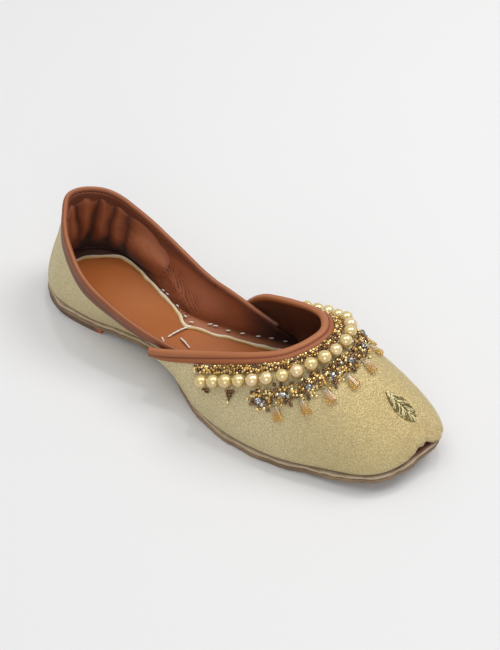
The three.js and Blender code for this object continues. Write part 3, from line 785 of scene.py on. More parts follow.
def upper_layer(name, sheet, places, rows, slot, creases, gap, shade):
    """One leather of the upper's wall."""
    finish, outside, inside = WALL_LAYERS[slot]
    front, at, share = upper_grid(sheet, places, rows, outside, creases, gap)
    back = upper_grid(sheet, places, rows, inside, creases, gap)[0]
    mesh = shell(name, front, back, finish, {"shade": shade(at, share), "highlight_and_wear": 0 * at})
    new_piece(name, mesh, ["upper"])


def vamp_shade(at, share):
    """A thin dark line at the foot."""
    return 0.9 * np.clip(1 - share / 0.018, 0, 1)


def quarter_shade(at, share):
    """Dark at the foot and at the cut front ends, which lie inside the wings."""
    ends = smooth_step(QUARTER_END - 0.35, QUARTER_END - 0.1, np.abs(at))
    return np.maximum(vamp_shade(at, share), ends)


def vamp_lining_shade(at, share):
    """Dim all over, and darkest at the foot."""
    return 0.42 + 0.55 * np.clip(1 - share / 0.10, 0, 1)


def quarter_lining_shade(at, share):
    """Dark low at the heel and in the front ends, under the wings."""
    foot = 0.9 * np.clip(1 - share / 0.30, 0, 1) * smooth_step(4.2, 2.6, np.abs(at))
    return np.maximum(foot, 0.9 * smooth_step(5.9, 7.1, np.abs(at)))


def no_gap(at):
    return np.zeros_like(at)


vamp_places = closing_places(VAMP_START, VAMP_END, 300)
quarter_places = closing_places(-QUARTER_END, QUARTER_END, 240)
upper_layer("vamp_leather", vamp, vamp_places, 84, "gold_leather", VAMP_CREASES, foot_gap, vamp_shade)
upper_layer("vamp_lining", vamp, vamp_places[::2], 40, "lining_leather", VAMP_CREASES, foot_gap,
            vamp_lining_shade)
upper_layer("quarter_leather", quarter, quarter_places, 60, "gold_leather", QUARTER_CREASES, no_gap,
            quarter_shade)
upper_layer("quarter_lining", quarter, quarter_places, 60, "lining_leather", LINING_CREASES, no_gap,
            quarter_lining_shade)

# Edge bindings. Each profile steps over the top edge from the outside to the inside: depth below the edge,
# lift off the skin, and marks for painted highlight (on the crest and the outer edge) and painted shade, in
# millimetres and shares

EDGE_GAP = 0.00003
BINDING_WAVE = 0.00014
# How many rows of the quarter's profile are its outer leg
OUTER_LEG = 12

QUARTER_PROFILE = [
    (8.4, 0.06, 1.0, 0.0), (8.45, 0.42, 1.0, 0.0), (8.15, 0.66, 0.8, 0.1), (7.8, 0.56, 0.1, 0.6),
    (7.3, 0.66, 0.0, 0.45), (6.7, 0.54, 0.0, 0.75), (6.1, 0.64, 0.0, 0.45), (5.5, 0.52, 0.0, 0.75),
    (4.9, 0.62, 0.0, 0.45), (4.3, 0.52, 0.0, 0.75), (3.7, 0.42, 0.0, 1.0), (3.3, 0.48, 0.0, 0.8),
    (2.9, 0.72, 0.0, 0.50), (2.3, 0.90, 0.0, 0.42), (1.6, 0.96, 0.0, 0.42), (0.8, 0.90, 0.0, 0.42),
    (0.1, 0.70, 0.0, 0.45), (-0.5, 0.36, 0.0, 0.38), (-0.90, -0.15, 0.0, 0.25), (-1.05, -0.7, 0.35, 0.0),
    (-0.95, -1.3, 0.0, 0.25), (-0.5, -1.95, 0.0, 0.38), (0.1, -2.25, 0.0, 0.45), (0.8, -2.35, 0.0, 0.6),
    (1.3, -2.20, 0.0, 0.95), (1.6, -1.80, 0.0, 1.0),
]
VAMP_PROFILE = [
    (6.0, 0.06, 0.9, 0.0), (6.02, 0.45, 0.9, 0.0), (5.8, 0.78, 0.35, 0.1), (5.3, 1.00, 0.05, 0.2),
    (4.6, 1.10, 0.0, 0.15), (4.0, 1.06, 0.0, 0.1), (3.5, 0.92, 0.0, 0.2), (3.2, 0.72, 0.0, 0.55),
    (3.0, 0.66, 0.0, 0.7), (2.8, 0.74, 0.0, 0.5), (2.5, 0.98, 0.1, 0.10), (2.0, 1.16, 0.3, 0.0),
    (1.3, 1.28, 0.35, 0.0), (0.6, 1.24, 0.40, 0.0), (0.0, 1.02, 0.40, 0.0), (-0.5, 0.55, 0.45, 0.0),
    (-0.85, -0.1, 0.65, 0.0), (-0.95, -0.8, 0.60, 0.0), (-0.8, -1.4, 0.25, 0.0), (-0.3, -2.0, 0.0, 0.0),
    (0.5, -2.35, 0.0, 0.0), (1.6, -2.40, 0.0, 0.1), (2.6, -2.25, 0.0, 0.3), (3.0, -1.90, 0.0, 0.8),
]


def binding(name, sheet, places, profile, seed, replaced, trim=None, fade=0):
    """A turned strip over a top edge: its profile, and under it the line where it meets the wall.

    Trim shortens its outer leg by place, and fade is how many places its ends take to thin out.
    """
    profile = np.array(profile)
    at = np.broadcast_to(places[:, None], (len(places), len(profile)))
    depth, lift = (np.broadcast_to(profile[:, k] * MM, at.shape).copy() for k in (0, 1))
    if trim is not None:
        outside = np.arange(len(profile)) < OUTER_LEG
        depth = np.where(outside, depth * trim(at), depth)
    ends = smooth_step(places[-1] - fade, places[-1], np.abs(at)) if fade else np.zeros(at.shape)
    thin = 1 - 0.6 * ends
    depth = np.where(depth < 0, depth * thin, depth)
    lift = np.where(lift > 0, lift * thin, lift)
    lift = np.where(lift < -UPPER_WALL, (lift + UPPER_WALL) * thin - UPPER_WALL, lift)
    front = sheet.below_top(at, depth, lift)
    inner, outer = (sheet.below_top(at, depth, lift + step) for step in (-0.001, 0.001))
    front = front + BINDING_WAVE * ripple(front, 0.008, seed)[..., None] * unit(outer - inner)
    under = np.maximum(depth, -EDGE_GAP), np.clip(lift, -UPPER_WALL - EDGE_GAP, EDGE_GAP)
    back = sheet.below_top(at, *under)
    # Painted highlight from the profile, and painted shade that darkens the thinned ends under the wings
    marks = {"highlight_and_wear": profile[:, 2] * (1 - ends), "shade": np.maximum(profile[:, 3], 0.85 * ends)}
    new_piece(name, shell(name, front, back, brown, marks), [replaced])


def under_wing(at):
    """The quarter's outer leg is cut short where the vamp's wing covers it."""
    return 1 - 0.62 * cover_at(at)


binding("quarter_binding_leather", quarter, quarter_places, QUARTER_PROFILE, 3, "quarter_binding",
        under_wing, 1.3)
binding("vamp_binding_leather", vamp, vamp_places, VAMP_PROFILE, 5, "vamp_binding")

# Facing inside the collar: a band of lining leather with a turned edge, in the same columns. The turned
# edge has a painted highlight; the shade mark gives painted shade in the grooves at its edges and darkens
# the band
FACING_PROFILE = [
    (1.1, -1.8, 0.0, 1.0), (1.5, -1.95, 0.0, 1.0), (1.9, -2.10, 0.40, 0.4), (2.3, -2.30, 0.75, 0.1),
    (2.7, -2.30, 0.10, 0.5), (4.5, -2.35, 0.0, 0.5), (6.5, -2.35, 0.0, 0.55), (8.5, -2.35, 0.0, 0.55),
    (10.0, -2.45, 0.0, 0.45), (10.8, -2.50, 0.15, 0.3), (11.2, -2.25, 0.0, 0.7), (11.3, -1.75, 0.0, 1.0),
]
FACING_END = 5.3


def collar_facing():
    """The facing, which narrows towards its two ends."""
    places = closing_places(-FACING_END, FACING_END, 180)
    profile = np.array(FACING_PROFILE)
    at = np.broadcast_to(places[:, None], (len(places), len(profile)))
    narrow = 1 - 0.80 * smooth_step(2.9, FACING_END - 0.1, np.abs(at))
    depth = profile[0, 0] * MM + (profile[:, 0] - profile[0, 0]) * MM * narrow
    front = quarter.below_top(at, depth, profile[:, 1] * MM)
    back = quarter.below_top(at, depth, -UPPER_WALL - LINING_GAP)
    marks = {mark: np.broadcast_to(profile[:, k], at.shape) for mark, k in (("highlight_and_wear", 2), ("shade", 3))}
    new_piece("collar_facing", shell("collar_facing", front, back, lining, marks))


collar_facing()

# Padded heel lining, drawn into gathers
PAD_END = 3.75
PAD_THICKNESS = 0.0052
PAD_EDGE = 0.0008
PAD_LOWEST = 0.06
# Half widths of a gather's dark line and of its fold, in places
GATHER_LINE = 0.10
GATHER_FOLD = 0.20
# Upper edge of the pad: place and height up the section
PAD_TOP = [
    (-3.75, 0.66), (-3.3, 0.79), (-2.65, 0.83), (-2.4, 0.79), (-2.1, 0.84), (-1.85, 0.80), (-1.5, 0.88),
    (-1.25, 0.84), (-0.8, 0.89), (-0.35, 0.82), (0.0, 0.86), (0.5, 0.80), (1.0, 0.85), (1.5, 0.80),
    (2.1, 0.84), (2.7, 0.79), (3.3, 0.77), (3.75, 0.66),
]
# Gathers: place at the pad's top and at its foot, depth at the top and at the foot
GATHERS = [
    (-2.42, -2.02, 1.0, 0.55), (-1.88, -1.38, 1.0, 0.6), (-1.28, -0.74, 1.0, 1.0), (-0.32, -0.68, 1.0, 0.3),
    (0.62, -0.22, 0.8, 0.2), (1.25, 0.70, 1.0, 0.6), (1.80, 1.50, 0.9, 0.5), (2.55, 2.20, 0.8, 0.3),
]


def heel_pad():
    """A padded panel that swells between its gathers and thins out to its edge."""
    places = np.linspace(-PAD_END, PAD_END, 401)
    share = np.linspace(0, 1, 65)
    at, rise = np.meshgrid(places, share, indexing="ij")
    end = np.abs(at) / PAD_END
    top = Rows(PAD_TOP).at(places)[:, 1:]
    middle, half = (top + PAD_LOWEST) / 2, (top - PAD_LOWEST) / 2
    middle = middle + 0.10 * end ** 8
    up = middle + half * (2 * rise - 1) * np.sqrt(np.clip(1 - 0.80 * end ** 10, 0, 1))
    round_off = np.clip(1 - end ** 6, 0, 1) ** 0.5
    crown = np.clip(np.sin(np.pi * rise), 0, 1) ** (0.38 + 0.5 * smooth_step(0.55, 0.9, end)) * round_off
    edge = PAD_EDGE * (1 - 0.8 * smooth_step(0.6, 0.95, end))
    bow = 0.08 * ripple(quarter.point(at, up), 0.012, 14)
    crease, fold = np.zeros_like(at), np.zeros_like(at)
    for above, below, deep_above, deep_below in GATHERS:
        away = np.abs(at + bow - below - (above - below) * rise)
        reach = deep_below + (deep_above - deep_below) * rise
        crease = np.maximum(crease, bell(away, 0, GATHER_LINE) * reach)
        fold = np.maximum(fold, np.exp(-((away / GATHER_FOLD) ** 1.2)) * reach)
    puffed = 0.0007 * ripple(quarter.point(at, up), 0.009, 8)
    wrinkle = 0.00022 * ripple(quarter.point(at, up), 0.003, 18)
    lift = edge + (PAD_THICKNESS - PAD_EDGE) * crown * (1 - 0.85 * fold) + (puffed + wrinkle) * crown
    back = quarter.skin(at, up, -UPPER_WALL - LINING_GAP)
    front = quarter.skin(at, up, -UPPER_WALL - lift)
    # Painted shade: dark lines and folds at the gathers and dark low down; painted highlight on the swell
    # of each puff
    low = smooth_step(0.42, 0.05, rise) * smooth_step(3.7, 2.6, np.abs(at))
    shade = np.maximum(0.80 * crease, 0.35 * fold) + 0.9 * low
    highlight_and_wear = 0.80 * crown * (1 - fold) ** 2 * bell(rise, 0.62, 0.30)
    mesh = shell("heel_pad_leather", front, back, lining, {"shade": np.clip(shade, 0, 1), "highlight_and_wear": highlight_and_wear})
    piece = new_piece("heel_pad_leather", mesh, ["heel_pad"])


heel_pad()

# Sole layers: each row steps from the outer edge to the inner edge of the foot line

# A layer's rounded edge: push out in millimetres and height as a share of its thickness
SOLE_EDGE = [(0.00, 0.50), (0.03, 0.72), (0.0, 0.88), (-0.14, 0.97), (-0.40, 1.00)]
TUCKED_PLACE = 13.1


def place_at(x, start, end):
    """The place on one side of the foot line at a distance along the shoe."""
    at = np.linspace(start, end, 400)
    return np.interp(x, foot_point(at)[:, 0], at)


def rim_at(at, rim):
    """How far a layer stands out past the foot line; the toe stands over it."""
    return rim - TOE_TUCK * bell(at, TUCKED_PLACE, 0.95)


def sole_layer(name, rim, underside, thickness, wave, finish, replaced, end_x=None, shade=None):
    """One layer with a rounded, wavy edge; with an end it stops there and has a straight front."""
    t = (1 - np.cos(np.pi * np.linspace(0.012, 0.988, 240))) / 2
    outer_end, inner_end = TOE, TOE
    if end_x is not None:
        t = np.sin(np.pi / 2 * np.linspace(0.01, 1, 120))
        outer_end, inner_end = place_at(end_x, 0, TOE), place_at(end_x, PLACES, TOE)
        inner_end = PLACES - inner_end
    outer, inner = outer_end * t, PLACES - inner_end * t

    def side(places, push, height):
        flat = foot_point(places)
        ground = np.concatenate([flat, np.zeros((len(places), 1))], -1)
        wobble = wave * (ripple(ground, 0.011, 4) + 0.5 * ripple(ground, 0.004, 5))
        out = rim_at(places, rim) + push * MM + wobble
        flat = flat + plan_normal(foot_point, places) * out[:, None]
        low = np.maximum(underside(flat[:, 0]) + 0.5 * wave * ripple(ground, 0.007, 6), 0)
        return np.column_stack([flat, low + thickness * height])

    def face(flip):
        heights = [(push, 1 - height if flip else height) for push, height in SOLE_EDGE]
        outers = [side(outer, *row) for row in heights]
        inners = [side(inner, *row) for row in heights]
        across = [outers[-1] * (1 - s) + inners[-1] * s for s in np.linspace(0.04, 0.96, 14)]
        grid = np.stack(outers + across + inners[::-1], 1)
        middle = slice(len(SOLE_EDGE), -len(SOLE_EDGE))
        grid[:, middle, 2] = underside(grid[:, middle, 0]) + (0 if flip else thickness)
        return grid

    top, bottom = face(False), face(True)
    dark = np.zeros(top.shape[:2]) if shade is None else shade(top)
    new_piece(name, shell(name, top, bottom, finish, {"shade": dark}), [replaced])


def edge_grime(grid):
    """Uneven dirt on the outsole."""
    return np.clip(0.12 + 0.4 * ripple(grid, 0.02, 6), 0, 1)


sole_layer("midsole_leather", 0.0005, midsole_underside, MIDSOLE_THICKNESS, 0.0010, pale_sole,
           "midsole")
sole_layer("outsole_leather", 0.0008, outsole_underside, OUTSOLE_THICKNESS, 0.0009, tan_sole,
           "outsole", shade=edge_grime)
sole_layer("heel_lift_leather", 0.0006, lambda x: 0 * x, HEEL_LIFT_HEIGHT, 0.0, dark_sole,
           "heel_lift", end_x=HEEL_LIFT_LENGTH - HEEL_CENTRE)

# Inside: insole, sock, its raw edge and the stitches


def inside_of_wall(at):
    """Distance in from the foot line to clear the wall, which is doubled along the wings."""
    place = np.where(at > TOE, at - PLACES, at)
    doubled = cover_at(place) * smooth_step(QUARTER_END + 1, QUARTER_END + 0.3, np.abs(place))
    return UPPER_WALL + INSOLE_CLEARANCE + WING_TUCK * doubled


def inset_outline(margin):
    """The foot line drawn in to clear the wall by a margin more."""
    at = np.linspace(0, PLACES, PLACES * 16 + 1)
    inwards = inside_of_wall(at) + margin
    return foot_point(at) - plan_normal(foot_point, at) * inwards[:, None]


def edges_at(outline, x):
    """Outer and inner y of an outline at each distance along the shoe."""
    half = len(outline) // 2
    outer, inner = outline[:half + 1], outline[half:][::-1]
    return np.interp(x, outer[:, 0], outer[:, 1]), np.interp(x, inner[:, 0], inner[:, 1])


def insole():
    """The insole's base, with painted shade at the heel and under the vamp."""
    outline = inset_outline(0.0)
    t = (1 - np.cos(np.pi * np.linspace(0.02, 0.985, 140))) / 2
    low, high = outline[:, 0].min(), outline[:, 0].max()
    x = low + (high - low) * t
    outer, inner = edges_at(outline, x)
    share = np.linspace(0, 1, 15)
    y = outer[:, None] + (inner - outer)[:, None] * share
    wide = np.broadcast_to(x[:, None], y.shape)
    bottom = np.stack([wide, y, foot_height(wide)], -1)
    top = bottom + [0, 0, INSOLE_THICKNESS]
    top[..., 2] += 0.00012 * ripple(top, 0.010, 11)
    shade = np.maximum(0.9 * smooth_step(0.045, 0.020, wide), 0.2 + 0.5 * smooth_step(0.09, 0.13, wide))
    mesh = shell("insole_leather", top, bottom, lining, {"shade": shade, "highlight_and_wear": 0.55 + 0 * y})
    new_piece("insole_leather", mesh, ["insole"])


sock_outline = inset_outline(SOCK_MARGIN)
sock_table = Rows(SOCK_SECTIONS)
SOCK_BOTTOM = INSOLE_THICKNESS + SEAT_GAP


def sock_point(share_x, reach):
    """A point of the sock's upper face: share along the foot and share of the way across."""
    x = np.asarray(share_x, float) * FOOT_LENGTH - HEEL_CENTRE
    outer, inner = edges_at(sock_outline, x)
    return np.stack([x, outer + (inner - outer) * reach, foot_height(x) + SOCK_BOTTOM + SOCK_THICKNESS], -1)


# Plan of the sock's raw edge, from the back of the heel round to the inner side and on into the forefoot
SOCK_EDGE = [
    (-0.0199, 0.0024), (-0.0179, 0.0067), (-0.0137, 0.0113), (-0.0063, 0.0172), (-0.0008, 0.0203),
    (0.0051, 0.0206), (0.0202, 0.0167), (0.0364, 0.0110), (0.0540, 0.0043), (0.0645, -0.0014),
    (0.0684, 0.0002), (0.0776, 0.0030), (0.0885, 0.0084), (0.0990, 0.0120), (0.1095, 0.0155),
    (0.1177, 0.0185), (0.1500, 0.0240),
]
RAW_EDGE_RADIUS = 0.00122


def sock():
    """The sock, from the outer side to its traced raw edge and on to the toe."""
    along = np.concatenate([np.linspace(0.0365, 0.06, 16), np.linspace(0.066, 0.92, 150)])
    x = along * FOOT_LENGTH - HEEL_CENTRE
    outer, inner = edges_at(sock_outline, x)
    edge = np.interp(x, *np.transpose(SOCK_EDGE))
    traced = (edge - outer) / (inner - outer)
    reach = np.where(x < SOCK_EDGE[-1][0], traced, sock_table.at(along)[:, 1])
    side = np.linspace(0, 1, 25)
    top = sock_point(np.broadcast_to(along[:, None], (len(along), len(side))), reach[:, None] * side)
    bottom = top - [0, 0, SOCK_THICKNESS]
    top[..., 2] += 0.00015 * ripple(top, 0.012, 12)
    shade = np.clip(0.65 * (np.abs(2 * side - 1) ** 14), 0, 1) + 0 * reach[:, None]
    shade = np.clip(shade + 0.8 * smooth_step(0.10, 0.15, top[..., 0]), 0, 1)
    mesh = shell("sock_leather", top, bottom, sock_finish, {"shade": shade})
    new_piece("sock_leather", mesh, ["sock"])


def sock_edge():
    """The sock's raw edge, rolled and frayed."""
    lift = SOCK_BOTTOM + 0.8 * SOCK_THICKNESS
    line = smooth_line([(x, y, foot_height(x) + lift) for x, y in SOCK_EDGE], 520)
    line[:, 1] += 0.0005 * ripple(line, 0.006, 21)
    line[:, 2] += 0.0002 + 0.0003 * ripple(line, 0.009, 22)
    width = RAW_EDGE_RADIUS * (1 + 0.45 * ripple(line, 0.008, 23))
    sides = 12
    points, faces = tube(line, width, sides, squash=0.75)
    ring = np.tile(np.linspace(0, 2 * np.pi, sides, endpoint=False), len(line))
    patch = np.repeat(ripple(line, 0.009, 24), sides)
    # Painted highlight in white along the edge's upper side, broken by uneven patches, and painted shade on
    # its underside
    highlight_and_wear = np.clip(smooth_step(-0.2, 0.7, -np.cos(ring + 0.5)) + 0.5 * patch, 0, 1)
    shade = 0.8 * np.clip(-np.sin(ring), 0, 1)
    mesh = closed_mesh("sock_raw_edge", points, faces, edge_finish, {"highlight_and_wear": highlight_and_wear, "shade": shade})
    new_piece("sock_raw_edge", mesh)


insole()
sock()
sock_edge()

# Small things that repeat are stood on points by node trees


def with_tree(name, points, edges, marks, tree, sizes, replaced=()):
    """Runs a node tree on a mesh of points and keeps the result as a plain mesh."""
    mesh = bpy.data.meshes.new(name)
    mesh.from_pydata([tuple(p) for p in points], edges, [])
    for mark, values in marks.items():
        values = np.asarray(values, np.float32)
        kind, field = ("FLOAT", "value") if values.ndim == 1 else ("FLOAT_VECTOR", "vector")
        mesh.attributes.new(mark, kind, "POINT").data.foreach_set(field, values.ravel())
    source = bpy.data.objects.new(name + "_places", mesh)
    bpy.context.scene.collection.objects.link(source)
    modifier = source.modifiers.new("placing", "NODES")
    modifier.node_group = tree
    for item in tree.interface.items_tree:
        if item.name in sizes:
            modifier[item.identifier] = sizes[item.name]
    depsgraph = bpy.context.evaluated_depsgraph_get()
    done = bpy.data.meshes.new_from_object(
        source.evaluated_get(depsgraph), preserve_all_data_layers=True, depsgraph=depsgraph)
    done.name = name
    source.modifiers.clear()
    bpy.data.objects.remove(source)
    new_piece(name, done, replaced)


class PlacingTree(Graph):
    """A Geometry Nodes tree with named inputs, which ends in Realize Instances and Set Material."""

    def __init__(self, name, sizes):
        super().__init__(bpy.data.node_groups.new(name, "GeometryNodeTree"))
        face = self.tree.interface
        face.new_socket("Places", in_out="INPUT", socket_type="NodeSocketGeometry")
        for size, value in sizes.items():
            face.new_socket(size, in_out="INPUT", socket_type="NodeSocketFloat").default_value = value
        face.new_socket("Geometry", in_out="OUTPUT", socket_type="NodeSocketGeometry")
        self.given = self.node("NodeGroupInput")

    def named(self, name, kind="FLOAT"):
        return self.node("GeometryNodeInputNamedAttribute", {"Name": name}, data_type=kind)["Attribute"]

    def scaled(self, geometry, x, y, z):
        size = self.node("ShaderNodeCombineXYZ", {"X": x, "Y": y, "Z": z})["Vector"]
        return self.node("GeometryNodeTransform", {"Geometry": geometry, "Scale": size})["Geometry"]

    def thread(self, width, length):
        """A stitch along Z with rounded ends."""
        sockets = {"Segments": 8, "Rings": 7, "Radius": 0.5}
        return self.scaled(self.node("GeometryNodeMeshUVSphere", sockets)["Mesh"], width, width, length)

    def along(self, direction):
        """Rotation that takes +Z along a direction."""
        return self.node("FunctionNodeAlignRotationToVector", {"Vector": direction}, axis="Z")["Rotation"]

    def turned_to_marks(self):
        """Rotation that takes +Z to a point's mark for along and +X to its mark for outward."""
        first = self.along(self.named("along", "FLOAT_VECTOR"))
        sockets = {"Rotation": first, "Vector": self.named("outward", "FLOAT_VECTOR")}
        return self.node("FunctionNodeAlignRotationToVector", sockets, axis="X", pivot_axis="Z")["Rotation"]

    def finish(self, points, shape, turn, scale, finish, smooth):
        placed = self.node("GeometryNodeInstanceOnPoints", {
            "Points": points, "Instance": shape, "Rotation": turn, "Scale": scale,
        })["Instances"]
        real = self.node("GeometryNodeRealizeInstances", {"Geometry": placed})["Geometry"]
        shading = {"Geometry": real, "Shade Smooth": smooth}
        shaded = self.node("GeometryNodeSetShadeSmooth", shading)["Geometry"]
        done = self.node("GeometryNodeSetMaterial", {"Geometry": shaded, "Material": finish})["Geometry"]
        self.node("NodeGroupOutput", {"Geometry": done})
        return self.tree


def bead_tree(name, finish, facets, smooth):
    """Round or faceted beads on points that carry their own directions and relative sizes."""
    tree = PlacingTree(name, {"Bead diameter": SEED_BEAD, "Flatness": 1.0})
    shape = tree.node("GeometryNodeMeshIcoSphere", {"Radius": 0.5, "Subdivisions": facets})["Mesh"]
    size = tree.given["Bead diameter"]
    shape = tree.scaled(shape, size * tree.given["Flatness"], size, size)
    scale = tree.node("ShaderNodeCombineXYZ", {k: tree.named("size") for k in "XYZ"})["Vector"]
    return tree.finish(tree.given["Places"], shape, tree.turned_to_marks(), scale, finish, smooth)


def stitch_tree(name, finish):
    """Straight stitches on points, each as long as its own mark says."""
    tree = PlacingTree(name, {"Thread width": 0.0005})
    shape = tree.thread(tree.given["Thread width"], 1.0)
    scale = tree.node("ShaderNodeCombineXYZ", {"X": 1.0, "Y": 1.0, "Z": tree.named("size")})["Vector"]
    return tree.finish(tree.given["Places"], shape, tree.turned_to_marks(), scale, finish, True)


def seam_tree(name, finish):
    """A row of stitches at even steps along an edge line."""
    tree = PlacingTree(name, {"Pitch": 0.0026, "Stitch length": 0.0020, "Thread width": 0.0005})
    curve = tree.node("GeometryNodeMeshToCurve", {"Mesh": tree.given["Places"]})["Curve"]
    sockets = {"Curve": curve, "Length": tree.given["Pitch"]}
    steps = tree.node("GeometryNodeCurveToPoints", sockets, mode="LENGTH")
    shape = tree.thread(tree.given["Thread width"], tree.given["Stitch length"])
    spread = {"Min": 0.85, "Max": 1.1, "Seed": 3}
    uneven = tree.node("FunctionNodeRandomValue", spread, data_type="FLOAT")["Value"]
    scale = tree.node("ShaderNodeCombineXYZ", {"X": uneven, "Y": 1.0, "Z": uneven})["Vector"]
    return tree.finish(steps["Points"], shape, tree.along(steps["Tangent"]), scale, finish, True)


SEAM_POINTS = 500
THREAD_TINT = 0.8


def seam(name, sheet, start, end, depth, lift, pitch, stitch_length):
    """Dark red stitches along a line at one depth below a sheet's top edge."""
    line = sheet.below_top(np.linspace(start, end, SEAM_POINTS), depth, lift)
    edges = [(i, i + 1) for i in range(SEAM_POINTS - 1)]
    sizes = {"Pitch": pitch, "Stitch length": stitch_length, "Thread width": 0.0006}
    tree = seam_tree(name + "_tree", red_thread)
    with_tree(name, line, edges, {"tint": np.full(SEAM_POINTS, THREAD_TINT)}, tree, sizes)


def stitches(name, ends, width, finish, tints=None, outward=(0, 0, 1), replaced=()):
    """Straight stitches, each from one point to another."""
    ends = np.array(ends, float)
    span = ends[:, 1] - ends[:, 0]
    out = np.broadcast_to(np.array(outward, float), span.shape)
    tints = np.full(len(ends), THREAD_TINT) if tints is None else tints
    marks = {"along": unit(span), "outward": out, "size": np.linalg.norm(span, axis=1), "tint": tints}
    tree = stitch_tree(name + "_tree", finish)
    with_tree(name, ends.mean(1), [], marks, tree, {"Thread width": width}, replaced)


# Seams

seam("vamp_binding_seam", vamp, VAMP_START + 0.05, VAMP_END - 0.05, 0.0030, 0.00068, 0.0026, 0.0021)
seam("collar_seam", quarter, -6.6, 6.6, 0.0013, -0.0025, 0.0024, 0.0019)

# White stitches in the inner wall's foot: x and y of each
WALL_STITCHES = [
    (0.0360, 0.0138), (0.0398, 0.0128), (0.0504, 0.0085), (0.0590, 0.0045), (0.0643, 0.0030),
    (0.0733, 0.0085), (0.0762, 0.0096), (0.0835, 0.0117), (0.0908, 0.0154), (0.0989, 0.0193),
    (0.1056, 0.0225), (0.1132, 0.0251),
]
# Loose basting: both ends and the middle's height over the sock
BASTING = [
    ((0.0611, -0.0142), (0.0662, 0.0001), 0.0009), ((0.0671, -0.0105), (0.0749, -0.0128), 0.0006),
    ((0.0587, -0.0166), (0.0615, -0.0183), 0.0004),
]
WALL_STITCH_LENGTH = 0.0030


def wall_stitches():
    """Both ends of each stitch, laid along the row."""
    points = np.array(WALL_STITCHES)
    way = unit(np.gradient(points, axis=0))
    height = foot_height(points[:, 0]) + INSOLE_THICKNESS + 0.0014
    middle = np.column_stack([points, height])
    half = np.column_stack([way * WALL_STITCH_LENGTH / 2, np.full(len(points), 0.0004)])
    return np.stack([middle - half, middle + half], 1)


def basting():
    """Each thread as short lengths that follow its bow."""
    ends = []
    for first, second, bow in BASTING:
        t = np.linspace(0, 1, 7)
        plan = np.outer(1 - t, first) + np.outer(t, second)
        height = foot_height(plan[:, 0]) + SOCK_BOTTOM + SOCK_THICKNESS + 0.0005 + bow * np.sin(np.pi * t)
        line = np.column_stack([plan, height])
        over = 0.15 * np.diff(line, axis=0)
        ends.extend(zip(line[:-1] - over, line[1:] + over))
    return ends


stitches("wall_stitches", wall_stitches(), 0.0009, white_thread)
stitches("basting_threads", basting(), 0.0011, white_thread)

# The throat trim


def drawn(depth, at):
    """The rows draw closer to the edge at the middle of the throat."""
    return depth * (1 - THROAT_DRAW * bell(at, TOE, 3))


def even_places(depth, pitch, start, end):
    """Places along the vamp at even steps over the skin at one depth, centred on the span."""
    places = np.linspace(start, end, 301)
    line = vamp.below_top(places, drawn(depth, places))
    runs = np.concatenate([[0], np.cumsum(np.linalg.norm(np.diff(line, axis=0), axis=1))])
    count = int(runs[-1] / pitch)
    steps = (runs[-1] - count * pitch) / 2 + pitch * np.arange(count + 1)
    return np.interp(steps, runs, places)


def seat_on_vamp(at, depth, lift):
    """Point, outward and uphill directions on the vamp's skin at a drawn depth."""
    at, depth, lift = (np.array(a, float) for a in np.broadcast_arrays(at, depth, lift))
    seat = vamp.below_top(at, drawn(depth, at), lift)
    outward = unit(vamp.below_top(at, drawn(depth, at), lift + 0.001) - seat)
    step = 0.0005
    above, below = (vamp.below_top(at, drawn(depth, at) + s, lift) for s in (-step, step))
    up = above - below
    up = unit(up - outward * (up * outward).sum(-1, keepdims=True))
    return seat, outward, up


band_depth = VAMP_BINDING_DEPTH + TRIM_SPACING
pearl_depth = band_depth + BEAD_BAND_WIDTH + TRIM_SPACING + PEARL_DIAMETER / 2
flower_depth = pearl_depth + PEARL_DIAMETER / 2 + FLOWER_SPACING + FLOWER_DIAMETER / 2
drop_depth = flower_depth + FLOWER_DIAMETER / 2 - DROP_TUCK
flower_places = even_places(flower_depth, FLOWER_PITCH, *FLOWER_SPAN)
rng = random.Random(11)
PEARL_LIFT = 0.0002


def numbered(stem):
    return [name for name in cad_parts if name.startswith(stem)]


def pearls():
    """One row of pearls of slightly uneven size and seat."""
    at = even_places(pearl_depth, PEARL_PITCH, *PEARL_SPAN)
    seat, outward, up = seat_on_vamp(at, pearl_depth, PEARL_LIFT + PEARL_DIAMETER / 2)
    size = [1 + rng.uniform(-0.05, 0.05) for _ in at]
    wobble = np.array([[rng.uniform(-0.00025, 0.00025) for _ in range(3)] for _ in at])
    tint = [rng.random() for _ in at]
    marks = {"along": up, "outward": outward, "size": size, "tint": tint}
    tree = bead_tree("pearl_tree", pearl_skin, 4, True)
    sizes = {"Bead diameter": 1.03 * PEARL_DIAMETER}
    with_tree("pearls", seat + wobble, [], marks, tree, sizes, numbered("pearl_"))


class Beads:
    """Collects beads before one node tree makes them all."""

    def __init__(self):
        self.seats, self.marks = [], {"along": [], "outward": [], "size": [], "tint": []}

    def add(self, at, depth, lift, size, tint):
        """Adds a bead at each place; lift is from the leather to the bead's middle."""
        at = np.atleast_1d(np.asarray(at, float))
        seat, outward, up = seat_on_vamp(at, depth, lift)
        turn = np.array([[rng.uniform(-0.5, 0.5) for _ in range(3)] for _ in at])
        self.seats.append(seat)
        self.marks["along"].append(unit(up + turn))
        self.marks["outward"].append(unit(outward + turn[:, ::-1]))
        self.marks["size"].append(np.broadcast_to(size, at.shape))
        self.marks["tint"].append(np.broadcast_to(tint, at.shape))

    def make(self, name, replaced=(), finish=bead_skin, slot="beads", diameter=SEED_BEAD, flatness=1.0):
        marks = {mark: np.concatenate(values) for mark, values in self.marks.items()}
        sizes = {"Bead diameter": diameter, "Flatness": flatness}
        tree = bead_tree(name + "_tree", finish, 2, False)
        with_tree(name, np.concatenate(self.seats), [], marks, tree, sizes, replaced)


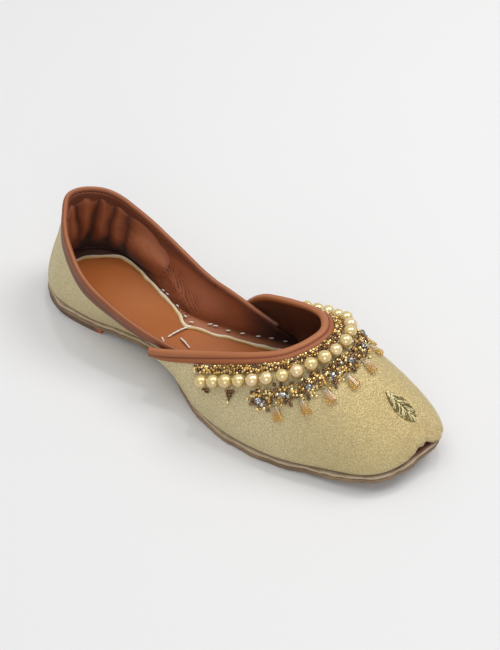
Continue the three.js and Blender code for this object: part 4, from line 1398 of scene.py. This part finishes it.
def place_step(at, depth):
    """Length over the skin of one place, at a depth."""
    here = vamp.below_top(np.array([at - 0.05, at + 0.05]), drawn(depth, np.array([at, at])))
    return np.linalg.norm(here[1] - here[0]) / 0.1


BEAD_PITCH = 0.0015
BAND_ROWS = 4
# Rings of a cluster: radius, number of beads, lift and turn
FLOWER_RINGS = [
    (0.0029, 9, 0.0022, 0.0), (0.0046, 13, 0.0012, 0.3), (0.0060, 9, 0.0008, 0.1), (0.0014, 4, 0.0014, 0.0),
]


def bead_band():
    """Rows of seed beads close under the binding."""
    beads = Beads()
    margin = 0.0004
    for depth in np.linspace(band_depth + margin, band_depth + BEAD_BAND_WIDTH - margin, BAND_ROWS):
        at = even_places(depth, BEAD_PITCH, *BEAD_BAND_SPAN)
        at = at + np.array([rng.uniform(-0.014, 0.014) for _ in at])
        jitter = np.array([rng.uniform(-0.0004, 0.0004) for _ in at])
        lift = np.array([0.0008 + rng.uniform(-0.0002, 0.0007) for _ in at])
        size = np.array([rng.uniform(0.78, 1.12) for _ in at])
        tint = np.array([0.93 * rng.random() for _ in at])
        beads.add(at, depth + jitter, lift, size, tint)
    beads.make("bead_band_beads", ["bead_band"])


def flowers():
    """Clusters of seed beads round clear stones, with loose beads between them."""
    beads, stones = Beads(), Beads()
    for at in flower_places:
        depth = flower_depth + rng.uniform(-0.0006, 0.0004)
        step = place_step(at, depth)
        start = rng.uniform(0, math.pi)
        for radius, count, lift, ahead in FLOWER_RINGS:
            for k in range(count):
                turn = start + ahead + 2 * math.pi * k / count + rng.uniform(-0.18, 0.18)
                reach = radius * rng.uniform(0.86, 1.12)
                beads.add(at + reach * math.cos(turn) / step, depth + reach * math.sin(turn),
                          lift + rng.uniform(-0.0003, 0.0004), rng.uniform(0.90, 1.25), rng.random() * 0.97)
        stones.add(at, depth, 0.0030, rng.uniform(0.88, 1.05), 1.0)
        aside = 0.0026
        stones.add(at + aside * math.cos(start) / step, depth + aside * math.sin(start), 0.0026, 0.52, 1.0)
    for first, second in zip(flower_places[:-1], flower_places[1:]):
        between = (first + second) / 2
        step = place_step(between, flower_depth)
        for _ in range(12):
            beads.add(between + rng.uniform(-0.0024, 0.0024) / step,
                      pearl_depth + 0.0036 + rng.uniform(0.0, 0.0085),
                      0.0008 + rng.uniform(0, 0.0010), rng.uniform(0.8, 1.2), rng.random() * 0.97)
    beads.make("flower_beads", numbered("flower_"))
    stones.make("clear_stones", (), stone_skin, "crystal", STONE, 0.7)


def end_clusters():
    """A dash of dark beads under the first pearl and a small hanging triangle further on."""
    beads = Beads()

    def row(at, depth, count):
        step = place_step(at, depth)
        for k in range(count):
            across = (k - (count - 1) / 2) * 0.0014 / step
            beads.add(at + across, depth + rng.uniform(-0.0002, 0.0002), 0.0009,
                      rng.uniform(0.8, 0.95), 0.5 * rng.random())

    row(7.56, 0.0192, 3)
    row(7.60, 0.0204, 2)
    for k, count in enumerate((4, 3, 2, 1)):
        row(8.30 - 0.02 * k, 0.0200 + 0.0013 * k, count)
    beads.add(8.20, 0.0255, 0.0010, 1.0, 0.85)
    beads.make("end_beads")


# A drop from its tie to its foot: shares of its length, width and thickness
DROP_ROWS = [(0.0, 0.34, 0.42), (0.05, 0.44, 0.52), (0.84, 0.97, 0.96), (0.92, 1.0, 1.0), (1.0, 0.88, 0.74)]


def drop_mesh(length, width, thickness):
    """A cut drop: eight-sided, narrow at its tie and wide at its foot, with a bevelled foot."""
    sides = 8
    points, marks = [], []
    for down, wide, deep in DROP_ROWS:
        for k in range(sides):
            turn = 2 * math.pi * (k + 0.5) / sides
            reach = 1 / math.cos(math.pi / sides)
            points.append((
                math.cos(turn) * reach * wide * width / 2, -down * length,
                math.sin(turn) * reach * deep * thickness / 2,
            ))
            marks.append(down)
    last = len(DROP_ROWS) - 1
    faces = [tuple(range(sides)), tuple(last * sides + k for k in reversed(range(sides)))]
    for i in range(last):
        for k in range(sides):
            a, b = i * sides + k, i * sides + (k + 1) % sides
            faces.append((a, a + sides, b + sides, b))
    return np.array(points), faces, marks


DROP_LIFT = 0.0014
TIE_TURNS = 3


def drops():
    """One glass drop below each gap in the clusters, with a turn of gold thread at its tie."""
    at = (flower_places[:-1] + flower_places[1:]) / 2
    seat, outward, up = seat_on_vamp(at, drop_depth, DROP_LIFT)
    shape, sides, marks = drop_mesh(DROP_LENGTH, DROP_WIDTH, DROP_THICKNESS)
    points, faces, tints, ties = [], [], [], []
    for i in range(len(at)):
        lean = rng.uniform(-0.12, 0.12)
        way = unit(up[i] * math.cos(lean) + np.cross(up[i], outward[i]) * math.sin(lean))
        across = np.cross(way, outward[i])
        base = len(points)
        points.extend(seat[i] + p[0] * across + p[1] * way + p[2] * outward[i] for p in shape)
        faces.extend(tuple(base + k for k in face) for face in sides)
        tints.extend(marks)
        for k in range(TIE_TURNS):
            middle = seat[i] - way * (0.0006 + 0.0005 * k) + outward[i] * 0.0008
            ties.append([middle - across * 0.0013, middle + across * 0.0013])
    mesh = closed_mesh("glass_drops", points, faces, glass_skin, {"tint": tints})
    mesh.polygons.foreach_set("use_smooth", np.zeros(len(mesh.polygons), bool))
    piece = new_piece("glass_drops", mesh, numbered("drop_"))
    bevel = piece.modifiers.new("facets", "BEVEL")
    bevel.width = 0.00012
    bevel.segments = 2
    stitches("drop_ties", ties, 0.0005, leaf_thread, np.full(len(ties), 0.4))


# The leaf: its place at the tip, its turn over its length, its rows of stitches and its outline as
# shares of length and width
LEAF_PLACE = 12.68
LEAF_TURN = 0.07
LEAF_ROWS = 40
LEAF_OUTLINE = [(0, 0.04), (0.18, 0.5), (0.42, 0.92), (0.66, 1), (0.86, 0.72), (1, 0.2)]


def toe_leaf():
    """A leaf of slanting satin stitches on both sides of a vein, pointed towards the throat."""
    outline = Rows(LEAF_OUTLINE)
    ends, tints = [], []

    def point(share, side, lift):
        depth = LEAF_DEPTH + LEAF_LENGTH * share
        at = LEAF_PLACE + LEAF_TURN * share
        step = place_step(at, depth)
        half = np.clip(outline.at(share)[1], 0, 1) * LEAF_WIDTH / 2
        return vamp.below_top(np.array(at + side * half / step), np.array(depth), np.array(lift))

    for k in range(LEAF_ROWS):
        share = k / (LEAF_ROWS - 1)
        for side in (-1, 1):
            out = min(1.0, share + 0.14 + rng.uniform(-0.05, 0.05))
            ragged = side * rng.uniform(0.84, 1.12)
            inner = point(max(share - 0.10, 0), 0.04 * side, rng.uniform(0.0006, 0.0013))
            outer = point(out, ragged, 0.00035)
            raised = point(share, side * 0.5, 0.0009) - point(share, side * 0.5, 0)
            middle = (inner + outer) / 2 + raised * 0.5
            ends += [[inner, middle], [middle, outer]]
            tint = rng.choice((0.1, 0.2, 0.65, 0.9, 1.0))
            tints += [tint, min(1.0, tint + rng.uniform(-0.2, 0.2))]
    for share in np.linspace(0, 0.96, 16):
        ends.append([point(share, -0.05, 0.0014), point(min(share + 0.07, 1), 0.05, 0.0012)])
        tints.append(rng.choice((0.15, 0.9)))
    for side in (-1, 1):
        for share in np.linspace(0, 0.95, 22):
            edge = side * rng.uniform(0.96, 1.10)
            ends.append([point(share, edge, 0.0004), point(min(share + 0.05, 1), edge, 0.0004)])
            tints.append(rng.choice((0.1, 0.3, 0.8)))
    outward = seat_on_vamp(LEAF_PLACE, LEAF_DEPTH + LEAF_LENGTH / 2, 0.0)[1]
    stitches("toe_leaf_threads", ends, 0.00062, leaf_thread, np.array(tints), outward,
             ["toe_leaf"])


pearls()
bead_band()
flowers()
end_clusters()
drops()
toe_leaf()

# Floor, light and camera

FLOOR_SIZE = 6.0


def floor():
    mesh = bpy.data.meshes.new("studio_floor")
    half = FLOOR_SIZE / 2
    corners = [(-half, -half, 0), (half, -half, 0), (half, half, 0), (-half, half, 0)]
    mesh.from_pydata(corners, [], [(0, 1, 2, 3)])
    f = Finish("studio_paper", Roughness=0.75)
    f.feed("Base Color", f.blend(f.grains(0.4, 2), (0.69, 0.69, 0.69), (0.71, 0.71, 0.715)))
    mesh.materials.append(f.material)
    piece = bpy.data.objects.new("studio_floor", mesh)
    bpy.context.scene.collection.objects.link(piece)


def soft_light(name, place, target, size, power, colour):
    data = bpy.data.lights.new(name, "AREA")
    data.shape, data.size, data.energy, data.color = "DISK", size, power, colour
    lamp = bpy.data.objects.new(name, data)
    lamp.location = place
    lamp.rotation_euler = (Vector(target) - Vector(place)).to_track_quat("-Z", "Y").to_euler()
    bpy.context.scene.collection.objects.link(lamp)


def studio():
    world = bpy.data.worlds.new("studio")
    world.use_nodes = True
    sky = world.node_tree.nodes["Background"]
    sky.inputs["Color"].default_value = (0.94, 0.95, 0.97, 1)
    sky.inputs["Strength"].default_value = 0.55
    bpy.context.scene.world = world
    bpy.context.scene.view_settings.view_transform = "Standard"
    middle = (0.09, 0.0, 0.02)
    soft_light("window", (0.55, 0.85, 1.35), middle, 0.9, 11, (1.0, 0.985, 0.96))
    soft_light("ceiling", (-0.25, -0.10, 1.6), middle, 1.2, 7, (1.0, 0.99, 0.98))
    soft_light("spark", (0.0, 0.45, 1.45), middle, 0.16, 2.6, (1.0, 0.99, 0.97))
    soft_light("front_fill", (0.9, -1.1, 0.8), middle, 1.0, 4, (1.0, 0.99, 0.97))


def camera():
    """The photograph's view: turned 33.9 degrees, looking down 47.2 degrees and rolled 1.6 degrees."""
    turn, tilt, roll = math.radians(33.9), math.radians(47.2), math.radians(1.6)
    target, distance = Vector((0.0965, 0.0141, 0.020)), 0.6978
    back = Vector((math.sin(turn) * math.cos(tilt), -math.cos(turn) * math.cos(tilt), math.sin(tilt)))
    right = Vector((math.cos(turn), math.sin(turn), 0))
    up = back.cross(right)
    side = right * math.cos(roll) + up * math.sin(roll)
    top = up * math.cos(roll) - right * math.sin(roll)
    data = bpy.data.cameras.new("photo_camera")
    data.sensor_fit, data.sensor_width, data.lens = "AUTO", 36, 70.19
    eye = bpy.data.objects.new("photo_camera", data)
    place = target + back * distance
    eye.matrix_world = Matrix((
        (side.x, top.x, back.x, place.x), (side.y, top.y, back.y, place.y),
        (side.z, top.z, back.z, place.z), (0, 0, 0, 1),
    ))
    bpy.context.scene.collection.objects.link(eye)
    bpy.context.scene.camera = eye


floor()
studio()
camera()
